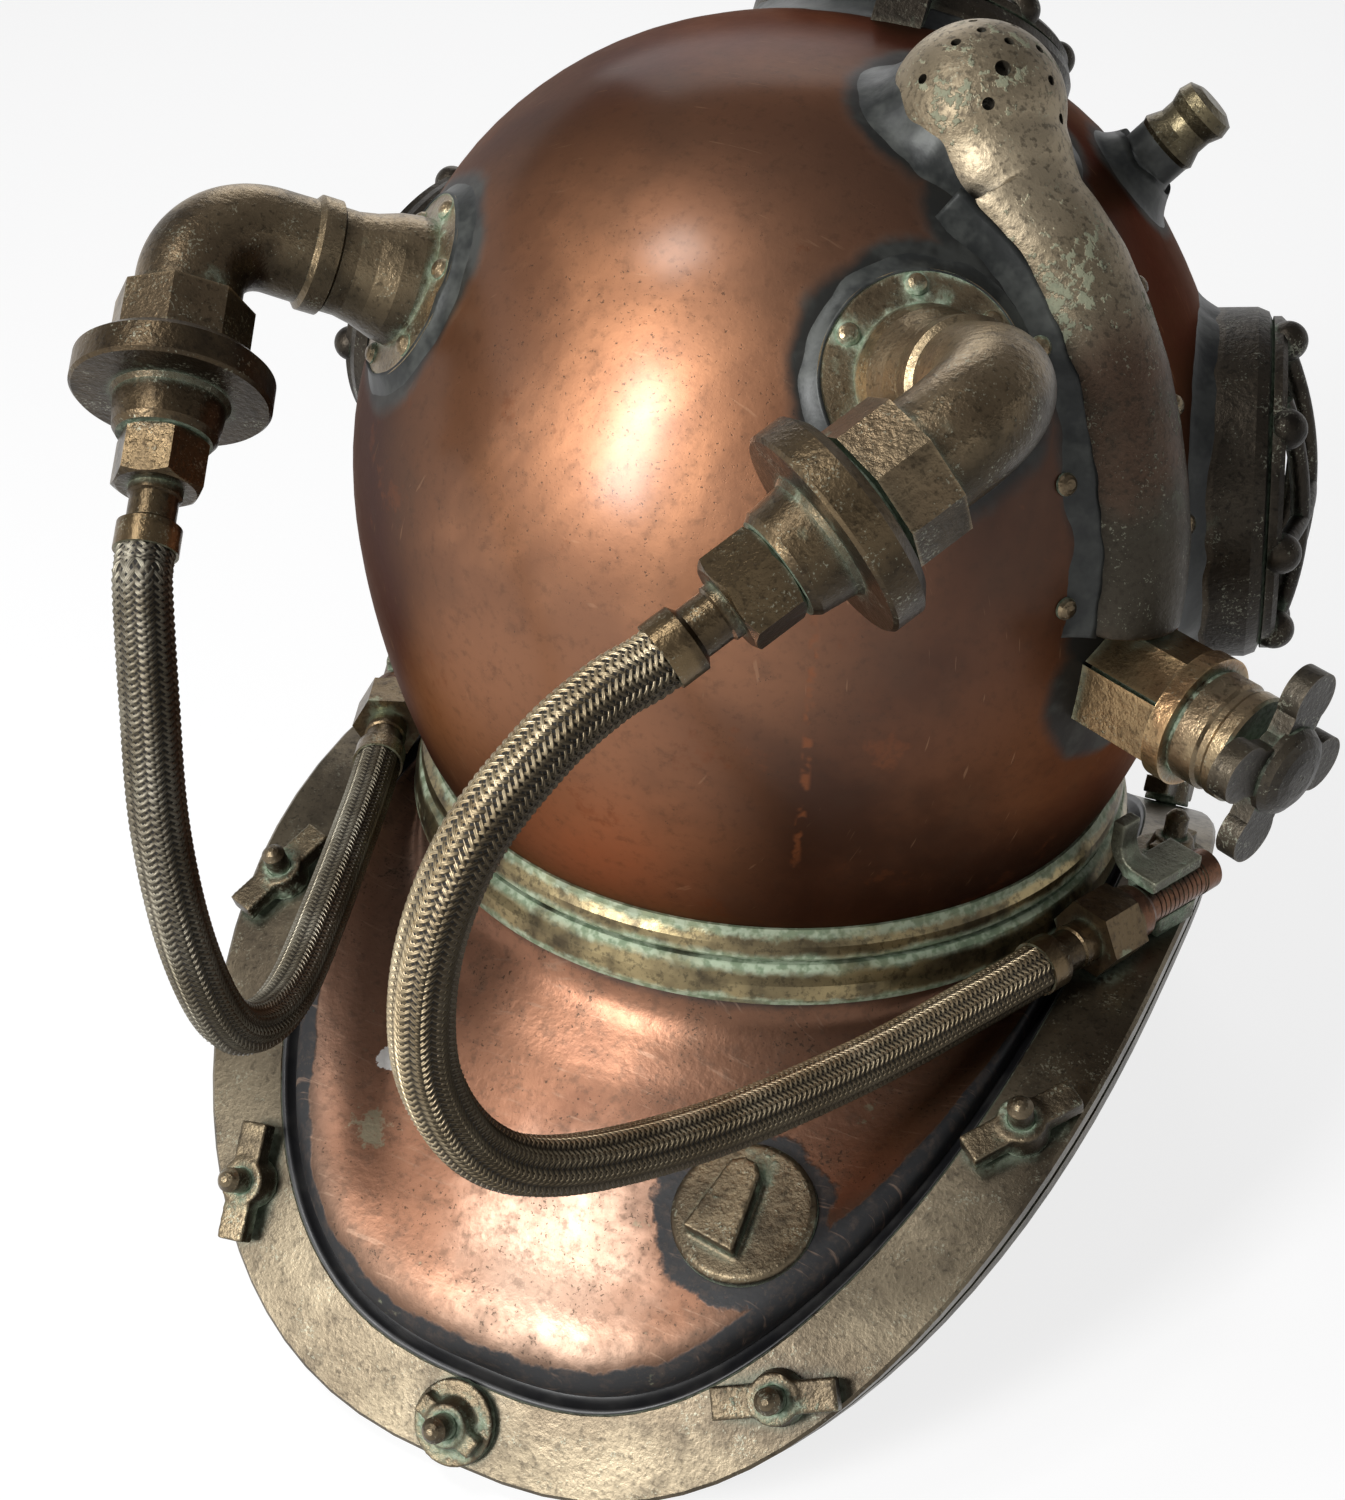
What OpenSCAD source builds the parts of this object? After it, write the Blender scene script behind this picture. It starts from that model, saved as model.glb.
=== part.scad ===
// Copper and brass deep-sea diving helmet: a raised copper bonnet on a saddle-shaped
// breastplate, four brass brails held by twelve studs with wing nuts, two swan-neck
// elbows with braided hoses to the shoulders, an exhaust valve with its perforated
// outlet channel, three guarded side and top lights and a screwed front window.
// Millimetres. +Z is up, -Y is the front, -X is the diver's right.
// Origin: on the neck axis, at the joint between the two brass neck rings.

/* [Bonnet] */
// Widest radius of the copper dome
dome_r = 149; // [140:1:158]
// Height of the widest circle above the neck joint
dome_z = 110; // [104:1:116]
// Thickness of the copper sheet
copper_t = 2.5; // [2:0.5:4]
// Radius of the groove between the two neck rings
neck_r = 129.5; // [126:0.5:132]

/* [Breastplate] */
// Half of the width over the shoulders
rim_half_w = 164; // [158:1:172]
// Reach of the rim behind the shoulder line
rim_back = 229.5; // [215:0.5:240]
// Reach of the rim before the shoulder line
rim_front = 212; // [200:1:230]
// Height of the rim at the shoulders, below the neck joint
shoulder_drop = 19.5; // [19:0.5:26]
// Further drop of the rim from the shoulders to front and back
rim_drop = 118; // [100:1:126]
// Width of the brails
brail_w = 28; // [25:0.5:30]
// Thickness of the brails
brail_t = 6; // [5:0.5:8]
// Thickness of the suit collar gasket
gasket_t = 3; // [2:0.5:4]
// Thickness of the brass rim under the gasket
flange_t = 6; // [5:0.5:8]

/* [Studs and wing nuts] */
// Radius of the studs
stud_r = 4.2; // [3.5:0.1:5]
// Height of the stud ends above the brails
stud_h = 21; // [17:1:26]
// Radius of the round hubs of the wing nuts
hub_r = 9; // [8:0.5:10]
// Reach of the lugs of the plain wing nuts
lug_reach = 20; // [17:0.5:22]

/* [Elbows and hoses] */
// Outer radius of the elbow tube
elbow_r = 16; // [14:0.5:17]
// Radius of the large coupling flanges
coupling_r = 29.5; // [26:0.5:32]
// Width of the union nuts across flats
union_af = 24; // [22:1:26]
// Outer diameter of the braided hoses
hose_d = 17; // [15:0.5:18]

/* [Lights and front window] */
// Radius of the side and top light frames
light_r = 57; // [52:1:60]
// Radius of the fixed ring of the front window
face_r = 71; // [66:1:74]
// Thickness of the window glasses
glass_t = 8; // [6:1:10]

/* [Exhaust valve] */
// Radius of the valve flange
valve_r = 21; // [19:0.5:23]
// Reach of the four lobes of the handwheel
wheel_reach = 31; // [26:0.5:33]

/* [Hidden] */
$fa = 4;
$fs = 1.2;

// Plan of the rim: a squared oval, swept low at the front and the back
rim_shift = 16;
rim_square = 2.63;
rim_pitch = 38;
rim_sweep = 1.8;
pitch_sweep = 2.8;
function rooted(v, p) = sign(v) * pow(abs(v), p);
function rim_x(t) = rim_half_w * rooted(cos(t), 2 / rim_square);
function rim_y(t) = rim_shift + (sin(t) > 0 ? rim_back : rim_front) * rooted(sin(t), 2 / rim_square);
function rim_z(t) = -shoulder_drop - rim_drop * pow(abs(sin(t)), rim_sweep);
function rim_p(t) = [rim_x(t), rim_y(t), rim_z(t)];
function unit(v) = v / norm(v);
// Direction along the rim, outward bearing and pitch of the band, and its upright direction
function rim_t(t) = unit(rim_p(t + 0.7) - rim_p(t - 0.7));
function rim_a(t) = atan2(rim_x(t - 0.7) - rim_x(t + 0.7), rim_y(t + 0.7) - rim_y(t - 0.7));
function rim_b(t) = 90 - (90 - rim_pitch) * pow(abs(sin(t)), pitch_sweep);
function rim_n(t) = let (n = [cos(rim_a(t)) * cos(rim_b(t)), sin(rim_a(t)) * cos(rim_b(t)), sin(rim_b(t))],
    d = rim_t(t)) unit(n - d * (n * d));
function rim_u(t) = cross(rim_n(t), rim_t(t));
// A point of the band: u across it towards the neck, n above its top face
function band(t, u, n) = rim_p(t) + rim_u(t) * u + rim_n(t) * n;

// Stud places around the rim, and the joints between the brails
stud_at = [90, 53.7, 20.7, -7.5, -33, -60, -90, -120, -147, -172.5, 159.3, 126.3];
rim_step = 3.75;
rim_rings = 96;
back_joint = 24;
right_joint = 50;
front_joint = 72;
left_joint = 94;

// Copper saddle from the neck down to the inner edge of the band
shell_r = neck_r - 3;
shell_z = -14.5;
under = -brail_t - gasket_t;
function foot(t) = band(t, brail_w + 4, under);
function bez(a, b, c, d, s) = a * pow(1 - s, 3) + b * 3 * pow(1 - s, 2) * s + c * 3 * (1 - s) * s * s + d * s * s * s;
function saddle(t, s) = let (a = [shell_r * cos(t), shell_r * sin(t), shell_z], d = foot(t), l = norm(d - a))
    bez(a, a - [0, 0, 0.36 * l], d + rim_n(t) * 0.40 * l, d, s);
function saddle_n(t, s) = let (p = saddle(t + 1, s) - saddle(t - 1, s),
    q = saddle(t, min(s + 0.02, 1)) - saddle(t, max(s - 0.02, 0)), c = cross(q, p)) c / norm(c);
// Wall direction: level at the neck ring, along the band's own face at the foot
function saddle_in(t, s) = let (v = s < 0.001 ? [cos(t), sin(t), 0]
    : s > 0.999 ? -rim_u(t) : saddle_n(t, s)) v / norm(v);
saddle_rows = 12;
saddle_cols = 96;
saddle_t = 3;

// Places and directions on the bonnet: bearing from the back towards the diver's right
module on_bonnet(az, el, r) {
    translate([0, 0, dome_z])
        rotate([0, 0, az])
        rotate([el - 90, 0, 0])
        translate([0, 0, r])
        children();
}

// The copper dome's half section, from the crown down to the neck
grow = dome_r - 149;
dome_line = [[0, 153], [24, 152], [47.5, 148], [69.5, 139.5], [90, 126.5], [107.5, 110],
    [121.5, 90.5], [132.8, 70.3], [141.8, 48.8], [147.3, 26.3], [149, 3.3],
    [147.6, -19.7], [144, -42.6], [138.6, -65.8], [131.5, -88]];
// Smooth line through these points, with q counted from 0 at the crown to 14 at the neck
dome_parts = 3;
function dome_at(q) = let (i = min(floor(q), 13), v = q - i, b = dome_line[i], c = dome_line[i + 1],
    a = i == 0 ? [-c.x, c.y] : dome_line[i - 1], d = i == 13 ? 2 * c - b : dome_line[i + 2])
    0.5 * (2 * b + (c - a) * v + (2 * a - 5 * b + 4 * c - d) * v * v + (3 * b - a - 3 * c + d) * v * v * v);
function dome_pt(q, off) = let (p = dome_at(q)) [max(0, p.x + off * min(q, 1) + grow * min(q, 1, 14 - q)),
    dome_z + p.y + max(0, (grow + off) * (1 - q / 8))];
neck_top = 12;
neck_in = neck_r - 10.5;
neck_lip = neck_r - 4.5 + (dome_line[14].x + grow - neck_r + 4.5) * 4 / 14;

module dome_section(off) {
    polygon(concat([for (k = [0 : 14 * dome_parts]) dome_pt(k / dome_parts, off)],
        [[neck_r - 4.5 + off, neck_top - 4], [0, neck_top - 4]]));
}

// Places of the fittings: bearing and height angle. Pairs are right and left.
elbow_az = [40, -50];
elbow_el = [36.5, 32.5];
elbow_turn = [-59, 50];
elbow_lift = 22;
elbow_reach = 67;
elbow_bend = 23;
elbow_seat = 151;
elbow_wall = 4;
valve_az = 67;
valve_el = -3;
valve_seat = 148;
face_el = 0;
side_az = 103;
side_el = 7;
top_el = 53;
top_turn = 14;
port_az = 109;
port_el = 48;
small_az = -115;
small_el = 52;
spit_az = -142;
spit_el = -12;

// Frame of an elbow: Z out along the stub, Y along the leg. Leg frame: Z along the leg.
module elbow_frame(k) {
    on_bonnet(elbow_az[k], elbow_el[k], elbow_seat)
        rotate([elbow_lift - elbow_el[k], 0, 0])
        rotate([0, 0, elbow_turn[k]])
        children();
}
module leg_frame(k, s) {
    elbow_frame(k)
        translate([0, s, elbow_reach])
        rotate([-90, 0, 0])
        children();
}

// The same places as numbers, for the hose ends
function spin_z(p, a) = [p.x * cos(a) - p.y * sin(a), p.x * sin(a) + p.y * cos(a), p.z];
function spin_x(p, a) = [p.x, p.y * cos(a) - p.z * sin(a), p.y * sin(a) + p.z * cos(a)];
function leg_pt(k, s) = [0, 0, dome_z] + spin_z(spin_x([0, 0, elbow_seat]
    + spin_x(spin_z([0, s, elbow_reach], elbow_turn[k]), elbow_lift - elbow_el[k]),
    elbow_el[k] - 90), elbow_az[k]);

// Lengths along the leg from the corner of the elbow
shoulder_from = 31;
shoulder_to = 47;
flange_from = 50;
flange_to = 62;
nut_from = 75;
nut_to = 91;
ferrule_to = 111;
hose_in = 6;

// Shoulder unions: X runs from the hose end forward and outward, Z is up
union_at = [neck_r + 1.5, 68, -7];
union_turn = 24;
union_len = 83;
module union_frame(side, s) {
    translate([side * union_at.x, union_at.y, union_at.z])
        rotate([0, 0, -90 + side * union_turn])
        translate([s, 0, 0])
        children();
}
function union_pt(side, s) = [side * (union_at.x + s * sin(union_turn)),
    union_at.y - s * cos(union_turn), union_at.z];

// Hose routes in the open, from the leg down to the shoulder
right_route = [[-50, 231, 166], [-42, 248, 157], [-33, 269, 138], [-27, 280, 108], [-26, 280, 72],
    [-33, 269, 40], [-46, 247, 20], [-68, 200, 2], [-94, 145, -7], [-115, 101, -8]];
left_route = [[107, 212, 142], [100, 223, 117], [92, 235, 82], [85, 239, 46], [82, 232, 12],
    [81, 219, -4], [85, 194, -11], [98, 154, -10], [117, 102, -8]];
hose_sides = 12;
hose_parts = 3;

// Windows: depth of the glass below the face of its frame
light_face = 161;
glass_in = 3;
face_face = 166;
run_gap = 0.06;

module breastplate_shell() {
    m = saddle_rows + 1;
    n = saddle_cols * m;
    outer = [for (i = [0 : saddle_cols - 1], j = [0 : saddle_rows])
        saddle(i * 360 / saddle_cols, j / saddle_rows)];
    inner = [for (i = [0 : saddle_cols - 1], j = [0 : saddle_rows])
        saddle(i * 360 / saddle_cols, j / saddle_rows)
        - saddle_t * saddle_in(i * 360 / saddle_cols, j / saddle_rows)];
    function at(i, j) = (i % saddle_cols) * m + j;
    color([0.72, 0.38, 0.24])
        polyhedron(concat(outer, inner), concat(
            [for (i = [0 : saddle_cols - 1], j = [0 : saddle_rows - 1], h = [0, 1])
                h == 0 ? [at(i, j), at(i + 1, j + 1), at(i, j + 1)]
                : [at(i, j), at(i + 1, j), at(i + 1, j + 1)]],
            [for (i = [0 : saddle_cols - 1], j = [0 : saddle_rows - 1], h = [0, 1])
                h == 0 ? [n + at(i, j), n + at(i, j + 1), n + at(i + 1, j + 1)]
                : [n + at(i, j), n + at(i + 1, j + 1), n + at(i + 1, j)]],
            [for (i = [0 : saddle_cols - 1], h = [0, 1])
                h == 0 ? [at(i, 0), n + at(i, 0), n + at(i + 1, 0)]
                : [at(i, 0), n + at(i + 1, 0), at(i + 1, 0)]],
            [for (i = [0 : saddle_cols - 1], h = [0, 1])
                h == 0 ? [at(i, m - 1), n + at(i + 1, m - 1), n + at(i, m - 1)]
                : [at(i, m - 1), at(i + 1, m - 1), n + at(i + 1, m - 1)]]), 4);
}

// A strip that follows the rim: the corners of its section swept over n steps from ring i0
module rim_strip(i0, n, corners) {
    k = len(corners);
    closed = n == rim_rings;
    rows = closed ? n : n + 1;
    pts = [for (i = [0 : rows - 1], c = corners) band((i0 + i) * rim_step, c[0], c[1])];
    function at(i, j) = (i % rows) * k + j % k;
    sides = [for (i = [0 : n - 1], j = [0 : k - 1], h = [0, 1])
        h == 0 ? [at(i, j), at(i + 1, j + 1), at(i, j + 1)] : [at(i, j), at(i + 1, j), at(i + 1, j + 1)]];
    ends = closed ? [] : concat([for (j = [1 : k - 2]) [0, j, j + 1]],
        [for (j = [1 : k - 2]) [n * k, n * k + j + 1, n * k + j]]);
    polyhedron(pts, concat(sides, ends), 4);
}

module rim_flange() {
    low = under - flange_t;
    color([0.45, 0.38, 0.27])
        difference() {
            rim_strip(0, rim_rings, [[0, low], [brail_w + 7, low], [brail_w + 7, under], [0, under]]);
            for (t = stud_at)
                at_rim(t, 0)
                    translate([0, 0, low - 3])
                    cylinder(r = stud_r, h = flange_t + 6);
        }
}

module collar_gasket() {
    color([0.1, 0.1, 0.1])
        difference() {
            rim_strip(0, rim_rings, [[0.8, under], [brail_w - 0.8, under],
                [brail_w - 0.8, -brail_t], [0.8, -brail_t]]);
            for (t = stud_at)
                at_rim(t, 0)
                    translate([0, 0, under - 2])
                    cylinder(r = stud_r, h = gasket_t + 4);
        }
}

// Frame on the band at a stud: Z along the stud, X down the slope, Y along the rim
module at_rim(t, n) {
    p = band(t, brail_w / 2, n);
    x = -rim_u(t);
    y = rim_t(t);
    z = rim_n(t);
    multmatrix([[x.x, y.x, z.x, p.x], [x.y, y.y, z.y, p.y], [x.z, y.z, z.z, p.z], [0, 0, 0, 1]])
        children();
}

module brail(i0, i1) {
    color([0.62, 0.52, 0.36])
        difference() {
            rim_strip(i0, i1 - i0,
                [[0, -brail_t], [brail_w, -brail_t], [brail_w, -1], [brail_w - 1.2, 0], [1.2, 0], [0, -1]]);
            for (t = stud_at)
                at_rim(t, 0)
                    translate([0, 0, -brail_t - 3])
                    rotate([0, 0, 80])
                    cylinder(r = stud_r + 0.4, h = brail_t + 6);
        }
}
module brail_back_right() { brail(back_joint, right_joint); }
module brail_front_right() { brail(right_joint, front_joint); }
module brail_front_left() { brail(front_joint, left_joint); }
module brail_back_left() { brail(left_joint - rim_rings, back_joint); }

module rim_studs() {
    color([0.5, 0.42, 0.3])
        for (t = stud_at)
            at_rim(t, 0) {
                translate([0, 0, under - flange_t])
                    cylinder(r = stud_r, h = stud_h + flange_t - under - 3);
                translate([0, 0, stud_h - 3])
                    cylinder(r1 = stud_r, r2 = stud_r * 0.62, h = 2);
                translate([0, 0, stud_h - 1])
                    cylinder(r1 = stud_r * 0.62, r2 = stud_r * 0.25, h = 0.9);
            }
}

nut_h = 10;
nut_seat = 0.3;
module nut_bore() {
    translate([0, 0, -5])
        cylinder(r = stud_r + 0.06, h = nut_h + 15);
}
module plain_wing_nuts() {
    color([0.48, 0.42, 0.29])
        for (i = [0 : 11])
            if (i % 3 != 0)
                at_rim(stud_at[i], nut_seat)
                    rotate([0, 0, 62])
                    difference() {
                        union() {
                            cylinder(r1 = hub_r, r2 = hub_r - 1, h = nut_h);
                            for (s = [0, 180])
                                rotate([0, 0, s])
                                    translate([0, -5, 2.5])
                                    cube([lug_reach, 10, 7]);
                        }
                        nut_bore();
                    }
}
module flanged_wing_nuts() {
    color([0.5, 0.44, 0.3])
        for (i = [0, 3, 6, 9])
            at_rim(stud_at[i], nut_seat)
                rotate([0, 0, 70])
                difference() {
                    union() {
                        cylinder(r = hub_r + 5, h = 4);
                        cylinder(r1 = hub_r + 1, r2 = hub_r - 2, h = nut_h);
                        for (s = [0, 180])
                            rotate([0, 0, s])
                                translate([4, -3.5, 3])
                                cube([hub_r - 1, 7, 6]);
                    }
                    nut_bore();
                }
}

module lower_neck_ring() {
    color([0.5, 0.45, 0.3])
        rotate_extrude($fn = 120)
            polygon([[neck_in, -22], [shell_r - saddle_t, -22], [shell_r - saddle_t, shell_z],
                [neck_r + 4.5, shell_z],
                [neck_r + 5, -12.5], [neck_r + 4.2, -7], [neck_r + 2.4, -2.2], [neck_r + 0.6, -0.8],
                [neck_r - 2, -0.8], [neck_r - 2, -2.5], [neck_in, -2.5]]);
}
module neck_gasket() {
    color([0.16, 0.12, 0.09])
        rotate_extrude($fn = 120)
            polygon([[neck_in + 0.5, -2.5], [neck_r - 2, -2.5], [neck_r - 2, 0.8], [neck_in + 0.5, 0.8]]);
}
module upper_neck_ring() {
    color([0.52, 0.46, 0.31])
        rotate_extrude($fn = 120)
            polygon([[neck_in, 0.8], [neck_r + 0.4, 0.8], [neck_r + 1.8, 2.6], [neck_r + 1.2, 7],
                [neck_r - 1.0, 10.4], [neck_r - 1.6, neck_top], [neck_lip, neck_top],
                [neck_r - 4.5, neck_top - 4], [neck_in, neck_top - 4]]);
}

module window_hole(az, el, r) {
    on_bonnet(az, el, 100)
        cylinder(r = r, h = 80, $fn = 72);
}
module dome(off) {
    rotate_extrude($fn = 144)
        dome_section(off);
}
module bonnet_shell() {
    color([0.74, 0.4, 0.25])
        difference() {
            rotate_extrude($fn = 144)
                difference() {
                    dome_section(0);
                    dome_section(-copper_t);
                }
            window_hole(180, face_el, spigot_r);
            window_hole(side_az, side_el, light_r - 13);
            window_hole(-side_az, side_el, light_r - 13);
            window_hole(180, top_el, light_r - 13);
            window_hole(valve_az, valve_el, valve_bore);
            for (k = [0, 1])
                on_bonnet(elbow_az[k], elbow_el[k], 100)
                    cylinder(r = elbow_r - elbow_wall, h = 80);
        }
}

// Copper doubling plates under the elbows, with their rivets
plate_r = 31;
plate_t = 2;
plate_rivets = 6;
module elbow_plate(k) {
    color([0.6, 0.36, 0.24])
        intersection() {
            difference() {
                dome(plate_t);
                dome(0);
                on_bonnet(elbow_az[k], elbow_el[k], 100)
                    cylinder(r = elbow_r - elbow_wall, h = 80);
            }
            on_bonnet(elbow_az[k], elbow_el[k], 100)
                cylinder(r = plate_r, h = 80, $fn = 72);
        }
}
module right_elbow_flange() { elbow_plate(0); }
module left_elbow_flange() { elbow_plate(1); }

// Radius of the copper surface at a height angle
function copper_r(el) = lookup(el, [for (k = [14 * dome_parts : -1 : 0]) let (p = dome_at(k / dome_parts))
    [atan2(p.y, p.x), norm(p) + grow]]);
rivet_r = 3.4;
module rivet(az, el, lift) {
    on_bonnet(az, el, copper_r(el) + lift - 0.8)
        rotate_extrude($fn = 24)
        polygon([[0, -0.2], [rivet_r, -0.2], [rivet_r, 1.2], [rivet_r - 0.7, 2.3], [rivet_r - 1.9, 3], [0, 3.2]]);
}
module bonnet_rivets() {
    color([0.5, 0.34, 0.24]) {
        for (k = [0, 1], i = [0 : plate_rivets - 1])
            let (a = 30 + i * 360 / plate_rivets, d = (plate_r - 5.5) / 2.62)
                rivet(elbow_az[k] + d * cos(a) / cos(elbow_el[k]), elbow_el[k] + d * sin(a), plate_t);
        for (p = channel_rivets)
            rivet(p.x, p.y, 0.4);
    }
}

// Raised outlet channel from the exhaust valve up to the perforated dome
channel_path = [[66.5, 4], [67.2, 9], [67.8, 14], [68, 20], [68.5, 26], [69, 32], [69, 38],
    [68.6, 44], [67.4, 49], [65.4, 54], [62.6, 58.5], [60.2, 62]];
light_gap = light_r / 2.65;
channel_rivets = [[68, 19], [56.5, 9], [57.5, 23], [57.8, 38], [side_az - light_gap - 2.5, 12],
    [side_az - light_gap - 1, 26], [side_az - light_gap + 0.5, 40]];
channel_w = 19;
channel_h = 15;
channel_t = 2;
arch_n = 10;
function dir(p) = [-sin(p.x) * cos(p.y), cos(p.x) * cos(p.y), sin(p.y)];
function arch_pt(i, x, z) = let (last = len(channel_path) - 1, n = dir(channel_path[i]),
    w = unit(dir(channel_path[min(i + 1, last)]) - dir(channel_path[max(i - 1, 0)])), b = cross(w, n),
    c = copper_r(channel_path[i].y)) [0, 0, dome_z] + n * (c + z - x * x / (2 * c)) + b * x;
function arch(i, w, h) = [for (k = [0 : arch_n]) let (a = 180 * k / arch_n)
    arch_pt(i, -w * cos(a), -1 + (h + 1) * pow(sin(a), 0.8))];
module exhaust_channel() {
    m = len(channel_path);
    k = 2 * arch_n + 2;
    pts = [for (i = [0 : m - 1], p = concat(arch(i, channel_w, channel_h),
        [for (q = [arch_n : -1 : 0]) arch(i, channel_w - channel_t, channel_h - channel_t)[q]])) p];
    color([0.55, 0.36, 0.25])
        difference() {
            polyhedron(pts, concat(
                [for (i = [0 : m - 2], j = [0 : k - 1], h = [0, 1])
                    h == 0 ? [i * k + j, (i + 1) * k + (j + 1) % k, i * k + (j + 1) % k]
                    : [i * k + j, (i + 1) * k + j, (i + 1) * k + (j + 1) % k]],
                [for (j = [0 : arch_n - 1], h = [0, 1])
                    h == 0 ? [j, j + 1, k - 1 - j] : [j + 1, k - 2 - j, k - 1 - j]],
                [for (j = [0 : arch_n - 1], h = [0, 1]) let (o = (m - 1) * k)
                    h == 0 ? [o + j, o + k - 1 - j, o + j + 1] : [o + j + 1, o + k - 1 - j, o + k - 2 - j]]), 4);
            on_bonnet(cover_at.x, cover_at.y, 100)
                cylinder(r = cover_r - 1.5, h = 90, $fn = 72);
        }
}

// Perforated dome over the outlet
cover_at = [59.5, 63];
cover_r = 27;
cover_h = 19;
cover_t = 1.6;
cover_holes = [[0, 0, 2.2], [9, 30, 1.5], [9, 120, 1.5], [9, 210, 1.5], [9, 300, 1.5], [17, 0, 1.5],
    [17, 45, 1.5], [17, 90, 1.5], [17, 135, 1.5], [17, 180, 1.5], [17, 225, 1.5], [17, 270, 1.5], [17, 315, 1.5]];
module channel_cover() {
    ball = (cover_r * cover_r + cover_h * cover_h) / (2 * cover_h);
    base = copper_r(cover_at.y) - 2.2;
    color([0.56, 0.37, 0.26])
        difference() {
            on_bonnet(cover_at.x, cover_at.y, base + cover_h - ball)
                rotate_extrude($fn = 72)
                intersection() {
                    difference() {
                        circle(r = ball, $fn = 120);
                        circle(r = ball - cover_t, $fn = 120);
                    }
                    translate([0, ball - cover_h - 2])
                        square([ball, cover_h + 4]);
                }
            dome(0);
            for (h = cover_holes)
                on_bonnet(cover_at.x, cover_at.y, base)
                    rotate([0, 0, h.y])
                    translate([h.x, 0, 2])
                    cylinder(r = h.z, h = 30, $fn = 20);
        }
}

// Exhaust valve: lengths out from the copper, Z along the spindle
valve_bore = 12;
valve_box = 27;
valve_flange_to = 33;
valve_step = 45;
valve_top = 51;
wheel_from = 55.5;
wheel_to = 62;
wheel_end = 68;
spindle_r = 4;
module valve_frame(z) {
    on_bonnet(valve_az, valve_el, valve_seat + z)
        children();
}
module valve_body() {
    color([0.66, 0.42, 0.24])
        difference() {
            union() {
                valve_frame(-18)
                    linear_extrude(valve_box + 18)
                    polygon([[18, -10], [5, -19], [-12, -16], [-19, -4], [-17, 10], [-6, 18.5], [8, 18], [18, 10]]);
                valve_frame(valve_box)
                    cylinder(r = valve_r, h = valve_flange_to - valve_box, $fn = 72);
            }
            dome(0);
            valve_frame(-20)
                cylinder(r = valve_bore, h = 60, $fn = 48);
            valve_frame(10)
                translate([16.2, -9.2, 0])
                rotate([0, 0, -35])
                cube([6, 1.2, 34], center = true);
        }
}
module valve_cover() {
    color([0.6, 0.5, 0.33])
        difference() {
            valve_frame(0)
                rotate_extrude($fn = 72)
                polygon([[0, valve_flange_to], [17, valve_flange_to], [17.6, valve_flange_to + 1.5],
                    [17.6, valve_step - 3], [16.6, valve_step - 2], [16.6, valve_step], [17.2, valve_step + 1],
                    [17.2, valve_top - 1], [16.4, valve_top], [0, valve_top]]);
            valve_frame(valve_flange_to - 1)
                cylinder(r = valve_bore, h = 9, $fn = 48);
            valve_frame(valve_flange_to - 1)
                cylinder(r = spindle_r + run_gap, h = 30, $fn = 48);
        }
}
module valve_stem() {
    color([0.6, 0.5, 0.35])
        valve_frame(16)
        cylinder(r = spindle_r, h = wheel_from - 16 + 2, $fn = 48);
}
module valve_disc() {
    color([0.55, 0.45, 0.3])
        valve_frame(10)
        cylinder(r = valve_bore - 1, h = 6, $fn = 48);
}
module valve_handwheel() {
    color([0.36, 0.3, 0.22])
        difference() {
            union() {
                valve_frame(wheel_from)
                    cylinder(r = 12.5, h = wheel_to - wheel_from, $fn = 48);
                for (a = [0 : 90 : 270])
                    valve_frame(wheel_from)
                        rotate([0, 0, a + 71])
                        translate([wheel_reach - 9, 0, 0])
                        cylinder(r = 9, h = wheel_to - wheel_from, $fn = 36);
                for (a = [0 : 90 : 270])
                    valve_frame(wheel_from)
                        rotate([0, 0, a + 71])
                        translate([0, -7.5, 0])
                        cube([wheel_reach - 10, 15, wheel_to - wheel_from]);
                valve_frame(0)
                    rotate_extrude($fn = 48)
                    polygon([[0, wheel_to - 1], [14, wheel_to - 1], [14, wheel_to + 1], [12.6, wheel_to + 3.4],
                        [9.8, wheel_to + 5], [6, wheel_end - 0.2], [0, wheel_end]]);
            }
            valve_frame(wheel_from - 1)
                cylinder(r = spindle_r + run_gap, h = 3.3, $fn = 48);
        }
}

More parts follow.
